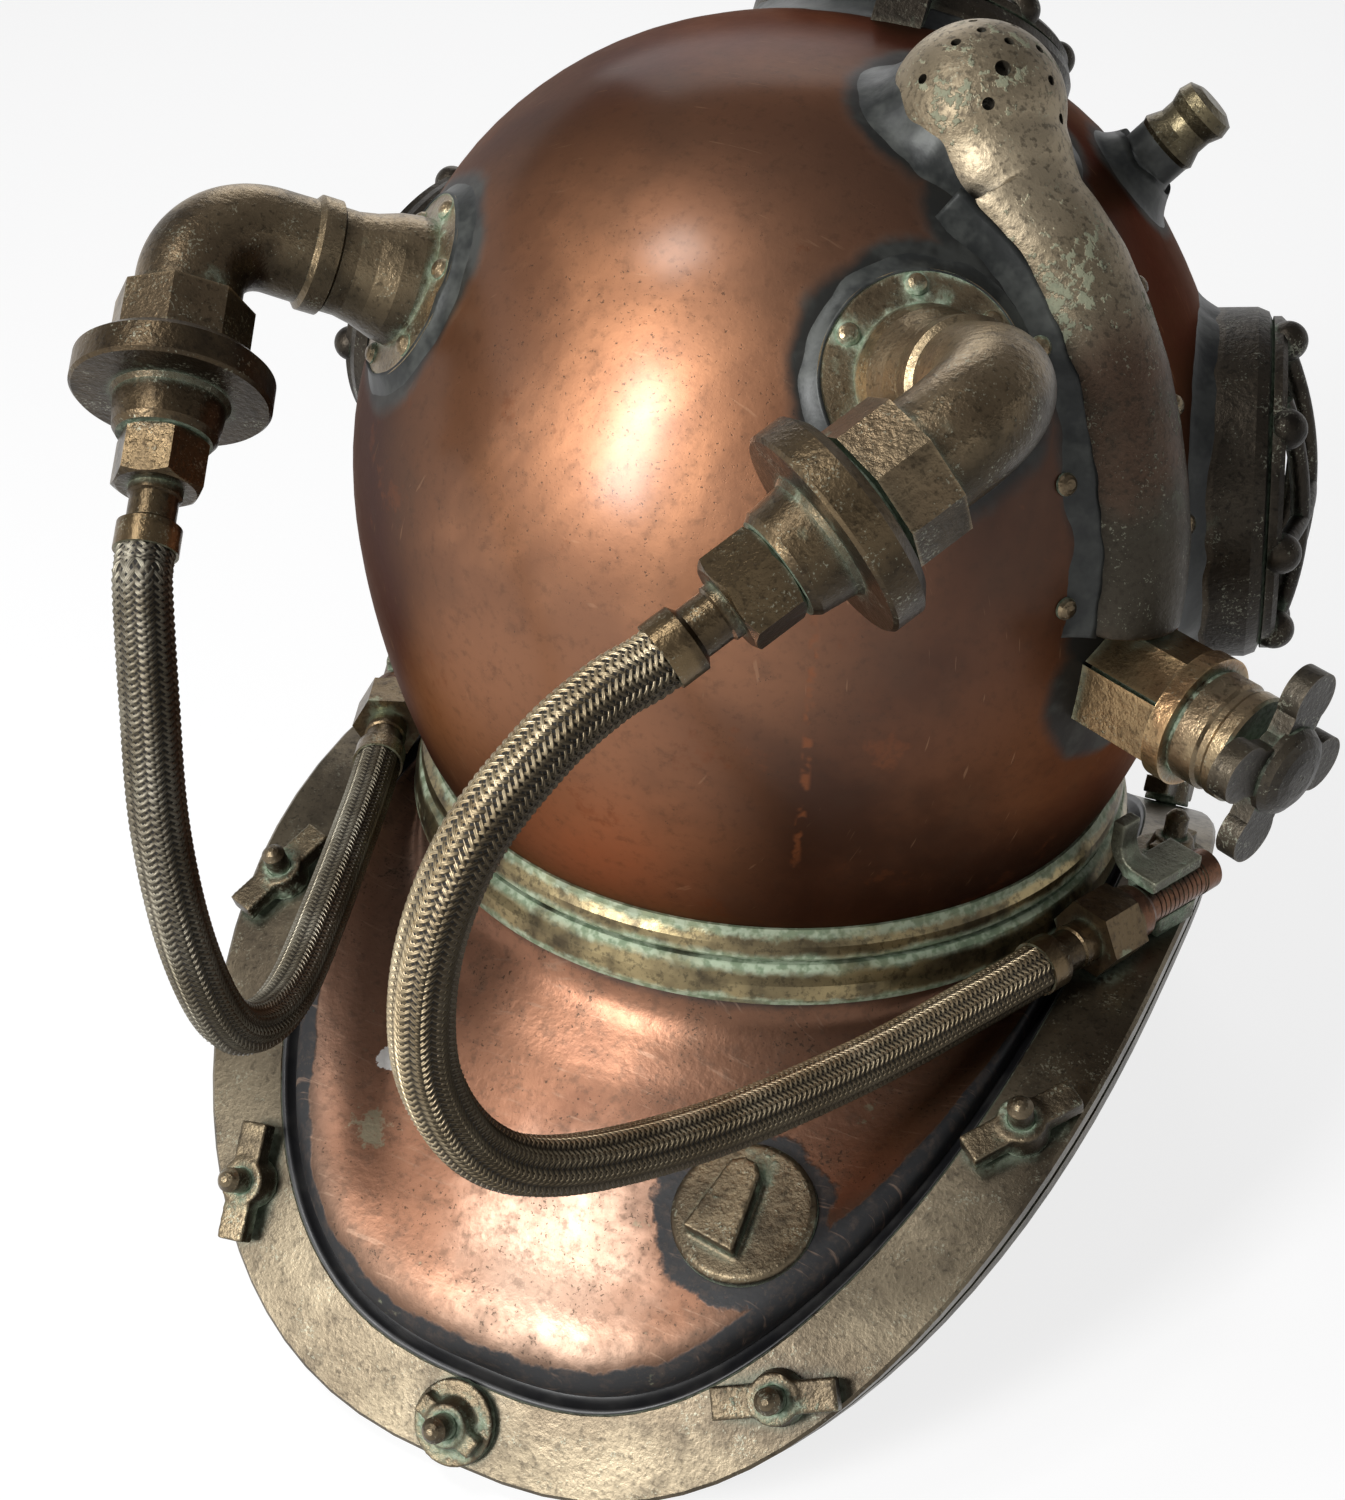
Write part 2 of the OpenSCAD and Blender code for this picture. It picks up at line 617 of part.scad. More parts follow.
// Swan-neck elbows: stub, bend and leg with its eight-sided shoulder
module elbow(k) {
    color([0.6, 0.36, 0.24])
        difference() {
            union() {
                difference() {
                    elbow_frame(k)
                        rotate_extrude($fn = 60)
                        polygon([[0, -16], [21, -16], [21, 2], [20, 8], [17.6, 15], [elbow_r + 0.4, 21],
                            [elbow_r + 0.4, 26], [elbow_r + 2, 27], [elbow_r + 2, 33], [elbow_r + 0.2, 34.5],
                            [elbow_r, elbow_reach - elbow_bend], [0, elbow_reach - elbow_bend]]);
                    dome(plate_t);
                }
                elbow_frame(k)
                    translate([0, elbow_bend, elbow_reach - elbow_bend])
                    rotate([90, 0, -90])
                    rotate_extrude(angle = 90, $fn = 96)
                    translate([elbow_bend, 0])
                    circle(r = elbow_r, $fn = 48);
                leg_frame(k, elbow_bend)
                    cylinder(r = elbow_r, h = shoulder_from - elbow_bend, $fn = 60);
                leg_frame(k, shoulder_from)
                    rotate([0, 0, 22.5])
                    cylinder(r = (elbow_r + 3.2) / cos(22.5), h = shoulder_to - shoulder_from, $fn = 8);
                leg_frame(k, shoulder_to)
                    cylinder(r = elbow_r - 0.8, h = flange_from - shoulder_to, $fn = 60);
            }
            elbow_frame(k)
                translate([0, 0, -18])
                cylinder(r = elbow_r - elbow_wall, h = elbow_reach - elbow_bend + 18, $fn = 48);
            elbow_frame(k)
                translate([0, elbow_bend, elbow_reach - elbow_bend])
                rotate([90, 0, -90])
                rotate_extrude(angle = 90, $fn = 96)
                translate([elbow_bend, 0])
                circle(r = elbow_r - elbow_wall, $fn = 48);
            leg_frame(k, elbow_bend)
                cylinder(r = elbow_r - elbow_wall, h = flange_from - elbow_bend + 1, $fn = 48);
        }
}
module right_elbow() { elbow(0); }
module left_elbow() { elbow(1); }

module coupling(k) {
    color([0.5, 0.43, 0.3])
        leg_frame(k, 0)
        rotate_extrude($fn = 72)
        polygon([[0, flange_from], [coupling_r - 3.5, flange_from], [coupling_r, flange_from + 3],
            [coupling_r, flange_to - 1], [coupling_r - 1, flange_to], [17.6, flange_to], [16.5, flange_to + 1.5],
            [15.4, nut_from - 2], [14, nut_from], [0, nut_from]]);
}
module right_coupling() { coupling(0); }
module left_coupling() { coupling(1); }

module union_nut(k) {
    color([0.6, 0.42, 0.26])
        leg_frame(k, nut_from)
        intersection() {
            cylinder(r = union_af / 2 / cos(30), h = nut_to - nut_from, $fn = 6);
            rotate_extrude($fn = 48)
                polygon([[0, 0], [union_af / 2 - 0.4, 0], [union_af / 2 / cos(30), 1.4],
                    [union_af / 2 / cos(30), nut_to - nut_from - 1.4], [union_af / 2 - 0.4, nut_to - nut_from],
                    [0, nut_to - nut_from]]);
        }
}
module right_union_nut() { union_nut(0); }
module left_union_nut() { union_nut(1); }

// Ferrules at both ends of a hose: neck, crimped sleeve over the end of the hose
neck_len = 12;
sleeve_len = ferrule_to - nut_to - neck_len;
union_hose = 14 - neck_len - sleeve_len;
module ferrule() {
    r = hose_d / 2;
    rotate_extrude($fn = 48)
        polygon([[0, 0], [r - 0.6, 0], [r - 0.6, 2.4], [r - 1.4, 3], [r - 1.4, neck_len - 1.5], [r + 0.9, neck_len],
            [r + 0.9, neck_len + sleeve_len], [r, neck_len + sleeve_len], [r, neck_len + sleeve_len - hose_in],
            [0, neck_len + sleeve_len - hose_in]]);
}
module hose_ferrules(k, side) {
    color([0.55, 0.36, 0.26]) {
        leg_frame(k, nut_to)
            ferrule();
        union_frame(side, 14)
            rotate([0, -90, 0])
            ferrule();
    }
}
module right_hose_ferrules() { hose_ferrules(0, -1); }
module left_hose_ferrules() { hose_ferrules(1, 1); }

// A hose: one tube swept along its route
function curve(p, i, v) = let (a = p[max(i - 1, 0)], b = p[i], c = p[i + 1], d = p[min(i + 2, len(p) - 1)])
    0.5 * ((2 * b) + (c - a) * v + (2 * a - 5 * b + 4 * c - d) * v * v + (3 * b - a - 3 * c + d) * v * v * v);
function turned(v, from, to) = let (c = cross(from, to), d = from * to) v + cross(c, v) + cross(c, cross(c, v)) / (1 + d);
function carried(t, i, v) = i >= len(t) ? [] : concat([v], carried(t, i + 1, i + 1 < len(t)
    ? unit(turned(v, t[i], t[i + 1])) : v));
module hose(route, first) {
    p = concat([for (i = [0 : len(route) - 2], j = [0 : hose_parts - 1]) curve(route, i, j / hose_parts)],
        [route[len(route) - 1]]);
    n = len(p);
    t = [for (i = [0 : n - 1]) i == 0 ? unit(route[1] - route[0])
        : i == n - 1 ? unit(route[len(route) - 1] - route[len(route) - 2]) : unit(p[i + 1] - p[i - 1])];
    side = carried(t, 0, unit(cross(t[0], first)));
    pts = [for (i = [0 : n - 1], k = [0 : hose_sides - 1]) let (a = 360 * k / hose_sides)
        p[i] + hose_d / 2 * (side[i] * cos(a) + cross(t[i], side[i]) * sin(a))];
    s = hose_sides;
    color([0.6, 0.58, 0.5])
        polyhedron(pts, concat(
            [for (i = [0 : n - 2], k = [0 : s - 1], h = [0, 1])
                h == 0 ? [i * s + k, (i + 1) * s + (k + 1) % s, i * s + (k + 1) % s]
                : [i * s + k, (i + 1) * s + k, (i + 1) * s + (k + 1) % s]],
            [[for (k = [0 : s - 1]) k], [for (k = [s - 1 : -1 : 0]) (n - 1) * s + k]]), 4);
}
function whole_route(k, side, route) = concat([leg_pt(k, ferrule_to - hose_in), leg_pt(k, ferrule_to + 4)],
    route, [union_pt(side, union_hose - 8), union_pt(side, union_hose + hose_in)]);
module right_hose() { hose(whole_route(0, -1, right_route), [0, 0, 1]); }
module left_hose() { hose(whole_route(1, 1, left_route), [0, 0, 1]); }

// Shoulder unions: nut, collar and the threaded end that lies over the shoulder
thread_r = 7.5;
thread_out = thread_r - 0.3;
thread_from = 47;
thread_plain = 7;
thread_pitch = 2.4;
module shoulder_union(side) {
    color([0.5, 0.27, 0.18]) {
        union_frame(side, 14)
            rotate([0, 90, 0])
            rotate_extrude($fn = 48)
            polygon([[0, 0], [7.5, 0], [7.5, 6], [0, 6]]);
        union_frame(side, 19)
            rotate([0, 90, 0])
            rotate([0, 0, 30])
            cylinder(r = union_af / 2 / cos(30), h = 16.5, $fn = 6);
        union_frame(side, 35)
            rotate([0, 90, 0])
            rotate_extrude($fn = 48)
            polygon([[0, 0], [11.5, 0], [11.5, 2.5], [9.6, 3.5], [9.6, 9], [8.4, 11],
                [thread_out, thread_from - 35], [0, thread_from - 35]]);
        union_frame(side, thread_from)
            rotate([0, 90, 0])
            difference() {
                union() {
                    translate([0, 0, -1])
                        cylinder(r = thread_out, h = union_len - thread_from + 1, $fn = 48);
                    translate([0, 0, union_len - thread_from - thread_plain])
                        cylinder(r = thread_r, h = thread_plain, $fn = 48);
                }
                for (z = [3 : thread_pitch : union_len - thread_from - thread_plain - 1.5])
                    translate([0, 0, z])
                        rotate_extrude($fn = 48)
                        polygon([[thread_out - 0.8, 0.5], [thread_out + 1, -0.2], [thread_out + 1, 1.2]]);
            }
    }
}
module right_shoulder_union() { shoulder_union(-1); }
module left_shoulder_union() { shoulder_union(1); }

// Hooks on the shoulders: a bracket that stands on the brail on the neck side of the
// thread, reaches over it and curls up in front of the neck
hook_from = 52;
hook_w = 20;
hook_out = 10;
hook_curl = 12;
hook_t = 5;
hook_band = 9;
module neckward(side) {
    if (side > 0)
        mirror([0, 1, 0])
            children();
    else
        children();
}
module hook(side) {
    foot_z = -shoulder_drop - union_at.z;
    strap_z = thread_out + 0.3;
    color([0.5, 0.55, 0.42])
        difference() {
            union() {
                union_frame(side, hook_from)
                    neckward(side)
                    translate([0, -6, foot_z])
                    cube([hook_w, 6 + hook_out, -foot_z]);
                union_frame(side, hook_from)
                    neckward(side)
                    translate([0, 0, -1])
                    cube([hook_w, hook_out, strap_z + hook_t + 1]);
                union_frame(side, thread_from + 0.5)
                    neckward(side)
                    translate([0, -hook_band / 2, strap_z])
                    cube([hook_w + 6, hook_band / 2 + hook_out, hook_t]);
                union_frame(side, thread_from + 0.5)
                    neckward(side)
                    translate([0, hook_band / 2, strap_z + hook_curl])
                    rotate([90, 0, 90])
                    rotate([0, 0, -90])
                    rotate_extrude(angle = 90, $fn = 60)
                    translate([hook_curl - hook_t, 0])
                    square([hook_t, hook_band]);
                union_frame(side, thread_from + 0.5)
                    neckward(side)
                    translate([0, hook_band / 2 + hook_curl - hook_t, strap_z + hook_curl])
                    cube([hook_band, hook_t, 8]);
            }
            union_frame(side, hook_from - 12)
                rotate([0, 90, 0])
                cylinder(r = thread_out + 0.05, h = 60, $fn = 48);
        }
}
module right_hook() { hook(-1); }
module left_hook() { hook(1); }

// Boss with a wedge key on the back of the breastplate
boss_t = 120;
boss_s = 0.5;
boss_r = 24;
module on_saddle(t, s) {
    n = saddle_n(t, s);
    translate(saddle(t, s))
        rotate([0, acos(n.z), atan2(n.y, n.x)])
        children();
}
module back_boss() {
    color([0.5, 0.36, 0.28])
        on_saddle(boss_t, boss_s)
        union() {
            rotate_extrude($fn = 72)
                polygon([[0, -1.5], [boss_r, -1.5], [boss_r, 2.6], [boss_r - 1.5, 4], [0, 4]]);
            translate([0, -1, 3.5])
                linear_extrude(7)
                polygon([[-14, -6], [-11, -9.5], [15, -11], [15, 8], [-11, 2], [-14, -1]]);
        }
}

// Guarded lights
module light_frame(az, el, turn, lugs) {
    color([0.4, 0.33, 0.24])
        difference() {
            union() {
                on_bonnet(az, el, 0)
                    rotate_extrude($fn = 96)
                    polygon([[light_r - 13, 128], [light_r, 128], [light_r, light_face - 5], [light_r - 1.5, light_face - 1.5],
                        [light_r - 5, light_face], [light_r - 13, light_face]]);
                if (lugs)
                    for (a = [0 : 120 : 240])
                        on_bonnet(az, el, 126)
                            rotate([0, 0, a - 90 + turn])
                            translate([light_r - 3, -8, 0])
                            cube([15, 16, light_face - 130]);
            }
            dome(0);
            on_bonnet(az, el, light_face - glass_in - glass_t)
                cylinder(r = light_r - 10, h = 30, $fn = 96);
            if (lugs)
                for (a = [0 : 120 : 240])
                    on_bonnet(az, el, light_face - 8.5)
                        rotate([0, 0, a - 90 + turn])
                        translate([light_r + 5.5, 0, 0])
                        cylinder(r = 4.4, h = 30, $fn = 32);
        }
}
module light_glass(az, el) {
    color([0.35, 0.42, 0.4, 0.5])
        on_bonnet(az, el, light_face - glass_in - glass_t)
        cylinder(r = light_r - 10.05, h = glass_t, $fn = 96);
}
bar_r = 3;
bar_ball = 6.4;
guard_rise = 10;
module guard_bar(x, half) {
    arc = (light_r - 9) * (light_r - 9) / (2 * guard_rise) + guard_rise / 2;
    r = sqrt(arc * arc - x * x);
    a = asin(half / r);
    translate([x, 0, light_face + 3 + guard_rise - arc])
        rotate([0, 90, 0])
        rotate([0, 0, 180 - a])
        rotate_extrude(angle = 2 * a, $fn = 240)
        translate([r, 0])
        circle(r = bar_r, $fn = 20);
}
module light_guard(az, el, turn) {
    reach = light_r - 9;
    color([0.4, 0.34, 0.25])
        on_bonnet(az, el, 0)
        rotate([0, 0, turn])
        difference() {
            union() {
                rotate_extrude($fn = 96)
                    polygon([[reach - 4, light_face], [reach + 6, light_face], [reach + 6, light_face + 2.5],
                        [reach + 4.5, light_face + 4], [reach - 2.5, light_face + 4], [reach - 4, light_face + 2.5]]);
                for (x = [-26, 0, 26])
                    guard_bar(x, sqrt(reach * reach - x * x));
                rotate([0, 0, 90])
                    guard_bar(0, reach);
                for (a = [0 : 45 : 315])
                    rotate([0, 0, a])
                        translate([reach + 1.5, 0, light_face + 4])
                        sphere(r = bar_ball, $fn = 32);
            }
            translate([0, 0, light_face - 20])
                cylinder(r = light_r + 10, h = 20);
        }
}
module top_light_frame() { light_frame(180, top_el, top_turn, true); }
module top_light_glass() { light_glass(180, top_el); }
module top_light_guard() { light_guard(180, top_el, top_turn); }
module right_light_frame() { light_frame(side_az, side_el, 0, false); }
module right_light_glass() { light_glass(side_az, side_el); }
module right_light_guard() { light_guard(side_az, side_el, 0); }
module left_light_frame() { light_frame(-side_az, side_el, 0, false); }
module left_light_glass() { light_glass(-side_az, side_el); }
module left_light_guard() { light_guard(-side_az, side_el, 0); }

module light_screws() {
    color([0.42, 0.36, 0.27])
        for (a = [0 : 120 : 240])
            on_bonnet(180, top_el, light_face - 8.5)
                rotate([0, 0, a - 90 + top_turn])
                translate([light_r + 5.5, 0, 0])
                difference() {
                    cylinder(r = 4.4, h = 3.6, $fn = 32);
                    translate([-0.6, -5, 2])
                        cube([1.2, 10, 3]);
                }
}

// Front window: a fixed ring, and a window frame that screws into it on a washer
spigot_r = face_r - 9;
washer_t = 2;
module face_frame(z) {
    on_bonnet(180, face_el, z)
        children();
}
module face_ring() {
    color([0.55, 0.46, 0.3])
        difference() {
            face_frame(0)
                rotate_extrude($fn = 96)
                polygon([[spigot_r + run_gap, 120], [face_r, 120], [face_r, face_face - 4], [face_r - 2, face_face],
                    [spigot_r + run_gap, face_face]]);
            dome(0);
        }
}
module face_washer() {
    color([0.25, 0.17, 0.1])
        face_frame(face_face)
        difference() {
            cylinder(r = face_r - 1.5, h = washer_t, $fn = 96);
            translate([0, 0, -1])
                cylinder(r = spigot_r + run_gap, h = washer_t + 2, $fn = 96);
        }
}
module face_window() {
    top = face_face + washer_t;
    color([0.58, 0.48, 0.31])
        difference() {
            union() {
                face_frame(0)
                    rotate_extrude($fn = 96)
                    polygon([[spigot_r - 12, face_face - 11], [spigot_r, face_face - 11], [spigot_r, top],
                        [face_r - 1, top], [face_r - 1, top + 7], [face_r - 4, top + 10], [spigot_r - 12, top + 10]]);
                for (a = [45 : 90 : 315])
                    face_frame(top + 1)
                        rotate([0, 0, a])
                        translate([face_r - 4, -7, 0])
                        cube([12, 14, 8]);
            }
            face_frame(top + 10 - glass_in - glass_t)
                cylinder(r = spigot_r - 8, h = 30, $fn = 96);
        }
}
module face_glass() {
    color([0.35, 0.42, 0.4, 0.5])
        face_frame(face_face + washer_t + 10 - glass_in - glass_t)
        cylinder(r = spigot_r - 8.05, h = glass_t, $fn = 96);
}

// Capped port on the right of the crown, and the small boss opposite
module port_boss() {
    color([0.2, 0.18, 0.17])
        difference() {
            on_bonnet(port_az, port_el, 0)
                rotate_extrude($fn = 48)
                polygon([[0, 135], [13.5, 135], [12, 155], [10, 160], [10, 167], [0, 167]]);
            dome(0);
        }
}
module port_cap() {
    color([0.5, 0.42, 0.3])
        on_bonnet(port_az, port_el, 0)
        rotate_extrude($fn = 48)
        polygon([[0, 167], [10, 167], [10.6, 168.5], [8.6, 173], [8.6, 177], [10, 181], [9.2, 184.5], [6, 186], [0, 186]]);
}
module small_boss() {
    color([0.4, 0.3, 0.22])
        difference() {
            on_bonnet(small_az, small_el, 0)
                rotate_extrude($fn = 48)
                polygon([[0, 140], [9.5, 140], [9.5, 156], [7.8, 158.8], [0, 158.8]]);
            dome(0);
        }
}

// Spitcock at the left of the front window
module spitcock_body() {
    color([0.55, 0.45, 0.3])
        difference() {
            on_bonnet(spit_az, spit_el, 0)
                rotate_extrude($fn = 48)
                polygon([[0, 120], [13, 120], [13, 154], [9, 157], [9, 172], [10, 173], [10, 178], [4, 181], [0, 181]]);
            dome(0);
            on_bonnet(spit_az, spit_el, 165)
                rotate([0, 90, 0])
                cylinder(r = 3.5 + run_gap, h = 40, center = true, $fn = 36);
        }
}
module spitcock_lever() {
    color([0.5, 0.42, 0.3])
        on_bonnet(spit_az, spit_el, 165)
        rotate([0, 90, 0]) {
            translate([0, 0, -12])
                cylinder(r = 3.5, h = 24, $fn = 36);
            translate([0, 0, 10])
                cylinder(r = 5.5, h = 4, $fn = 36);
            translate([-3, -26, 10])
                cube([6, 24, 4]);
            translate([0, -26, 10])
                cylinder(r = 5, h = 4, $fn = 36);
        }
}

breastplate_shell();
rim_flange();
collar_gasket();
brail_back_left();
brail_back_right();
brail_front_left();
brail_front_right();
rim_studs();
plain_wing_nuts();
flanged_wing_nuts();
lower_neck_ring();
neck_gasket();
upper_neck_ring();
right_hook();
left_hook();
back_boss();
bonnet_shell();
bonnet_rivets();
exhaust_channel();
channel_cover();
valve_body();
valve_cover();
valve_stem();
valve_disc();
valve_handwheel();
right_elbow_flange();
left_elbow_flange();
right_elbow();
left_elbow();
right_coupling();
left_coupling();
right_union_nut();
left_union_nut();
right_hose_ferrules();
left_hose_ferrules();
right_hose();
left_hose();
right_shoulder_union();
left_shoulder_union();
top_light_frame();
top_light_glass();
top_light_guard();
right_light_frame();
right_light_glass();
right_light_guard();
left_light_frame();
left_light_glass();
left_light_guard();
face_ring();
face_washer();
face_window();
face_glass();
port_boss();
port_cap();
small_boss();
spitcock_body();
spitcock_lever();
light_screws();
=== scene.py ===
import math

import bmesh
import bpy
from mathutils import Matrix, Vector, noise
from mathutils.bvhtree import BVHTree


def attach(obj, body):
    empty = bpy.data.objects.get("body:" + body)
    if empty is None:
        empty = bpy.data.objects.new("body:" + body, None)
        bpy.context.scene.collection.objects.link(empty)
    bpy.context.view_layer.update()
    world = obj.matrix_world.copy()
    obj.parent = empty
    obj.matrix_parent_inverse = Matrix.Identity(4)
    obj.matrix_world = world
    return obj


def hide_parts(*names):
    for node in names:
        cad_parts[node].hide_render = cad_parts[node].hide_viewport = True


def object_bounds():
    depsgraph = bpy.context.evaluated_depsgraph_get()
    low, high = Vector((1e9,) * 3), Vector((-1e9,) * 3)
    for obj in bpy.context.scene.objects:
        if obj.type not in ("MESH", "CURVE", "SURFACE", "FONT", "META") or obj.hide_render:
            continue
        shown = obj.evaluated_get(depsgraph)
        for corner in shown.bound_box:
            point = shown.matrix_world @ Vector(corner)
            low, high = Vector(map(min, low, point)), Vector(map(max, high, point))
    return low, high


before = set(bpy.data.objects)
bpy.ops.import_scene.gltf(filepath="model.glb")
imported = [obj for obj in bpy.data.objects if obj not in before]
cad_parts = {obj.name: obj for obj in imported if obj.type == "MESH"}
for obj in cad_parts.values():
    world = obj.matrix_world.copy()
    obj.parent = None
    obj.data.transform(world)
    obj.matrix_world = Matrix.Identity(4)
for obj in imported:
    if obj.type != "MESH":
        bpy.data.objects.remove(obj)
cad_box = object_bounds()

# Studio: the camera stands behind the diver's right shoulder and above it, fitted to the
# photograph. A tall lamp stands behind the left shoulder like a window, a small one hangs
# from the ceiling, and a weak one lights the front.
scene = bpy.context.scene
scene.view_settings.view_transform = "Standard"
camera = bpy.data.objects.new("camera", bpy.data.cameras.new("camera"))
scene.collection.objects.link(camera)
eye, target, tilt = Vector((-0.2457, 0.6039, 0.4341)), Vector((0.03897, 0.01897, 0.00316)), math.radians(1.1)
back = (eye - target).normalized()
across = Vector((0, 0, 1)).cross(back).normalized()
across = across * math.cos(tilt) + back.cross(across) * math.sin(tilt)
upright = back.cross(across)
camera.matrix_world = Matrix((across, upright, back)).transposed().to_4x4()
camera.location = eye
camera.data.sensor_width = 36
photo_high, focal, centre_x, centre_y = 1500, 2068.6, 16.4, -18
camera.data.lens = camera.data.sensor_width * focal / photo_high
camera.data.shift_x = centre_x / photo_high
camera.data.shift_y = centre_y / photo_high
camera.data.clip_start = 0.02
scene.camera = camera


def lamp(name, at, aim, wide, high, power):
    """A rectangular area light at a place, turned to a point."""
    light = bpy.data.lights.new(name, "AREA")
    light.shape = "RECTANGLE"
    light.size, light.size_y, light.energy = wide, high, power
    holder = bpy.data.objects.new(name, light)
    scene.collection.objects.link(holder)
    holder.location = at
    holder.rotation_euler = (Vector(at) - Vector(aim)).to_track_quat("Z", "Y").to_euler()


lamp("key_lamp", (0.46, 1.42, 0.78), (0, 0.13, 0.15), 0.30, 0.66, 24)
lamp("ceiling_lamp", (0.50, 0.62, 1.45), (0, 0.15, -0.05), 0.3, 0.3, 5.5)
lamp("front_lamp", (0.9, -1.5, 1.2), (0, 0, 0.1), 1.0, 1.0, 6)


class Wire:
    """A node socket that stands in a Python expression and adds the Math nodes for it."""

    def __init__(self, net, socket):
        self.net, self.socket = net, socket

    def maths(self, operation, other=None, flip=False):
        first, second = (other, self) if flip else (self, other)
        ports = {0: first} if second is None else {0: first, 1: second}
        return self.net.node("ShaderNodeMath", {"operation": operation}, ports)

    def __add__(self, other):
        return self.maths("ADD", other)

    def __radd__(self, other):
        return self.maths("ADD", other, True)

    def __sub__(self, other):
        return self.maths("SUBTRACT", other)

    def __rsub__(self, other):
        return self.maths("SUBTRACT", other, True)

    def __mul__(self, other):
        return self.maths("MULTIPLY", other)

    def __rmul__(self, other):
        return self.maths("MULTIPLY", other, True)

    def __truediv__(self, other):
        return self.maths("DIVIDE", other)

    def __rtruediv__(self, other):
        return self.maths("DIVIDE", other, True)

    def __abs__(self):
        return self.maths("ABSOLUTE")

    def pick(self, name):
        """Another output of the node that this socket belongs to."""
        return Wire(self.net, self.socket.node.outputs[name])

    def step(self, low, high, smooth=True):
        """0 below low, 1 above high."""
        return self.net.node("ShaderNodeMapRange",
                             {"interpolation_type": "SMOOTHSTEP" if smooth else "LINEAR"},
                             {0: self, 1: low, 2: high, 3: 0.0, 4: 1.0})


class Net:
    """A node tree. node() adds one node from its type, settings and inputs."""

    def __init__(self, tree):
        self.tree = tree

    def node(self, kind, settings=None, inputs=None, out=0):
        made = self.tree.nodes.new(kind)
        for name, value in (settings or {}).items():
            setattr(made, name, value)
        for name, value in (inputs or {}).items():
            self.feed(made.inputs[name], value)
        return Wire(self, made.outputs[out]) if made.outputs else None

    def feed(self, port, value):
        if isinstance(value, Wire):
            self.tree.links.new(value.socket, port)
        elif isinstance(value, tuple) and len(value) == 3 and port.type == "RGBA":
            port.default_value = (*value, 1)
        else:
            port.default_value = value


class Finish(Net):
    """A material's tree, with the patterns that an old metal surface is painted from."""

    def __init__(self, name):
        self.material = bpy.data.materials.new(name)
        self.material.use_nodes = True
        super().__init__(self.material.node_tree)
        self.tree.nodes.clear()
        self.place = self.node("ShaderNodeTexCoord", out="Object")
        self.x = self.node("ShaderNodeSeparateXYZ", {}, {0: self.place})
        self.y, self.z = self.x.pick("Y"), self.x.pick("Z")
        # How far the surface faces up; old_metal paints shade on the faces turned away from it.
        self.up = self.facing((0.42, 0.22, 0.88))

    def noise(self, scale, detail=3.0, rough=0.55, place=None, warp=0.0):
        return self.node("ShaderNodeTexNoise", {}, {"Vector": place or self.place, "Scale": scale,
                         "Detail": detail, "Roughness": rough, "Distortion": warp})

    def mix(self, amount, low, high):
        return self.node("ShaderNodeMix", {"data_type": "RGBA"}, {0: amount, 6: low, 7: high}, 2)

    def facing(self, direction):
        """Cosine of the angle between the surface's normal and a direction fixed to the helmet."""
        return self.node("ShaderNodeVectorMath", {"operation": "DOT_PRODUCT"},
                         {0: self.place.pick("Normal"), 1: direction}, "Value")

    def away(self, point):
        """Distance from a point of the helmet."""
        return self.node("ShaderNodeVectorMath", {"operation": "DISTANCE"}, {0: self.place, 1: point}, "Value")

    def stretched(self, turn, scale):
        """Object coordinates turned and drawn out, for scratches and streaks."""
        return self.node("ShaderNodeMapping", {}, {"Vector": self.place, "Rotation": turn, "Scale": scale})

    def corners(self, reach, inside=False):
        """1 in the open and 0 in a corner, or, from inside, 0 at an outer edge."""
        return self.node("ShaderNodeAmbientOcclusion", {"samples": 4, "inside": inside}, {"Distance": reach}, "AO")

    def done(self, colour, rough, metal, height=None, depth=0.3, distance=0.0006, **fixed):
        inputs = {"Base Color": colour, "Roughness": rough, "Metallic": metal}
        if height is not None:
            inputs["Normal"] = self.node("ShaderNodeBump", {}, {"Strength": depth, "Distance": distance,
                                                               "Height": height})
        inputs.update(fixed)
        shader = self.node("ShaderNodeBsdfPrincipled", {}, inputs)
        self.node("ShaderNodeOutputMaterial", {}, {"Surface": shader})
        return self.material


# Floor: a wide bowl of pale paper that curves up behind the helmet and fades into the
# white around it. It keeps the helmet's shadow.
floor_z = cad_box[0][2] - 0.0005
paper = Finish("floor_paper")
rays = paper.node("ShaderNodeLightPath")
seen = rays.pick("Is Camera Ray") + rays.pick("Is Glossy Ray") + rays.pick("Is Transmission Ray")
lit = paper.node("ShaderNodeBsdfDiffuse", {}, {"Color": (0.66, 0.66, 0.66)})
faint = paper.node("ShaderNodeBsdfDiffuse", {}, {"Color": (0.26, 0.26, 0.26)})
glow = paper.node("ShaderNodeEmission", {}, {"Color": (1, 1, 1), "Strength": 0.80})
white = paper.node("ShaderNodeAddShader", {}, {0: faint, 1: glow})
both = paper.node("ShaderNodeMixShader", {}, {0: seen.maths("MINIMUM", 1.0), 1: lit, 2: white})
paper.node("ShaderNodeOutputMaterial", {}, {"Surface": both})
points, faces = [(0, 0, floor_z)], []
bowl = ((1.2, 0), (4.0, 0), (4.7, 0.12), (5.2, 0.5), (5.4, 1.1), (5.45, 2.6))
sides = 64
for reach, rise in bowl:
    points += [(reach * math.cos(a * 2 * math.pi / sides), reach * math.sin(a * 2 * math.pi / sides), floor_z + rise)
               for a in range(sides)]
for a in range(sides):
    following = (a + 1) % sides
    faces.append((0, 1 + a, 1 + following))
    for ring in range(len(bowl) - 1):
        low, high = 1 + ring * sides, 1 + (ring + 1) * sides
        faces.append((low + a, high + a, high + following, low + following))
floor = bpy.data.objects.new("floor", bpy.data.meshes.new("floor"))
floor.data.from_pydata(points, [], faces)
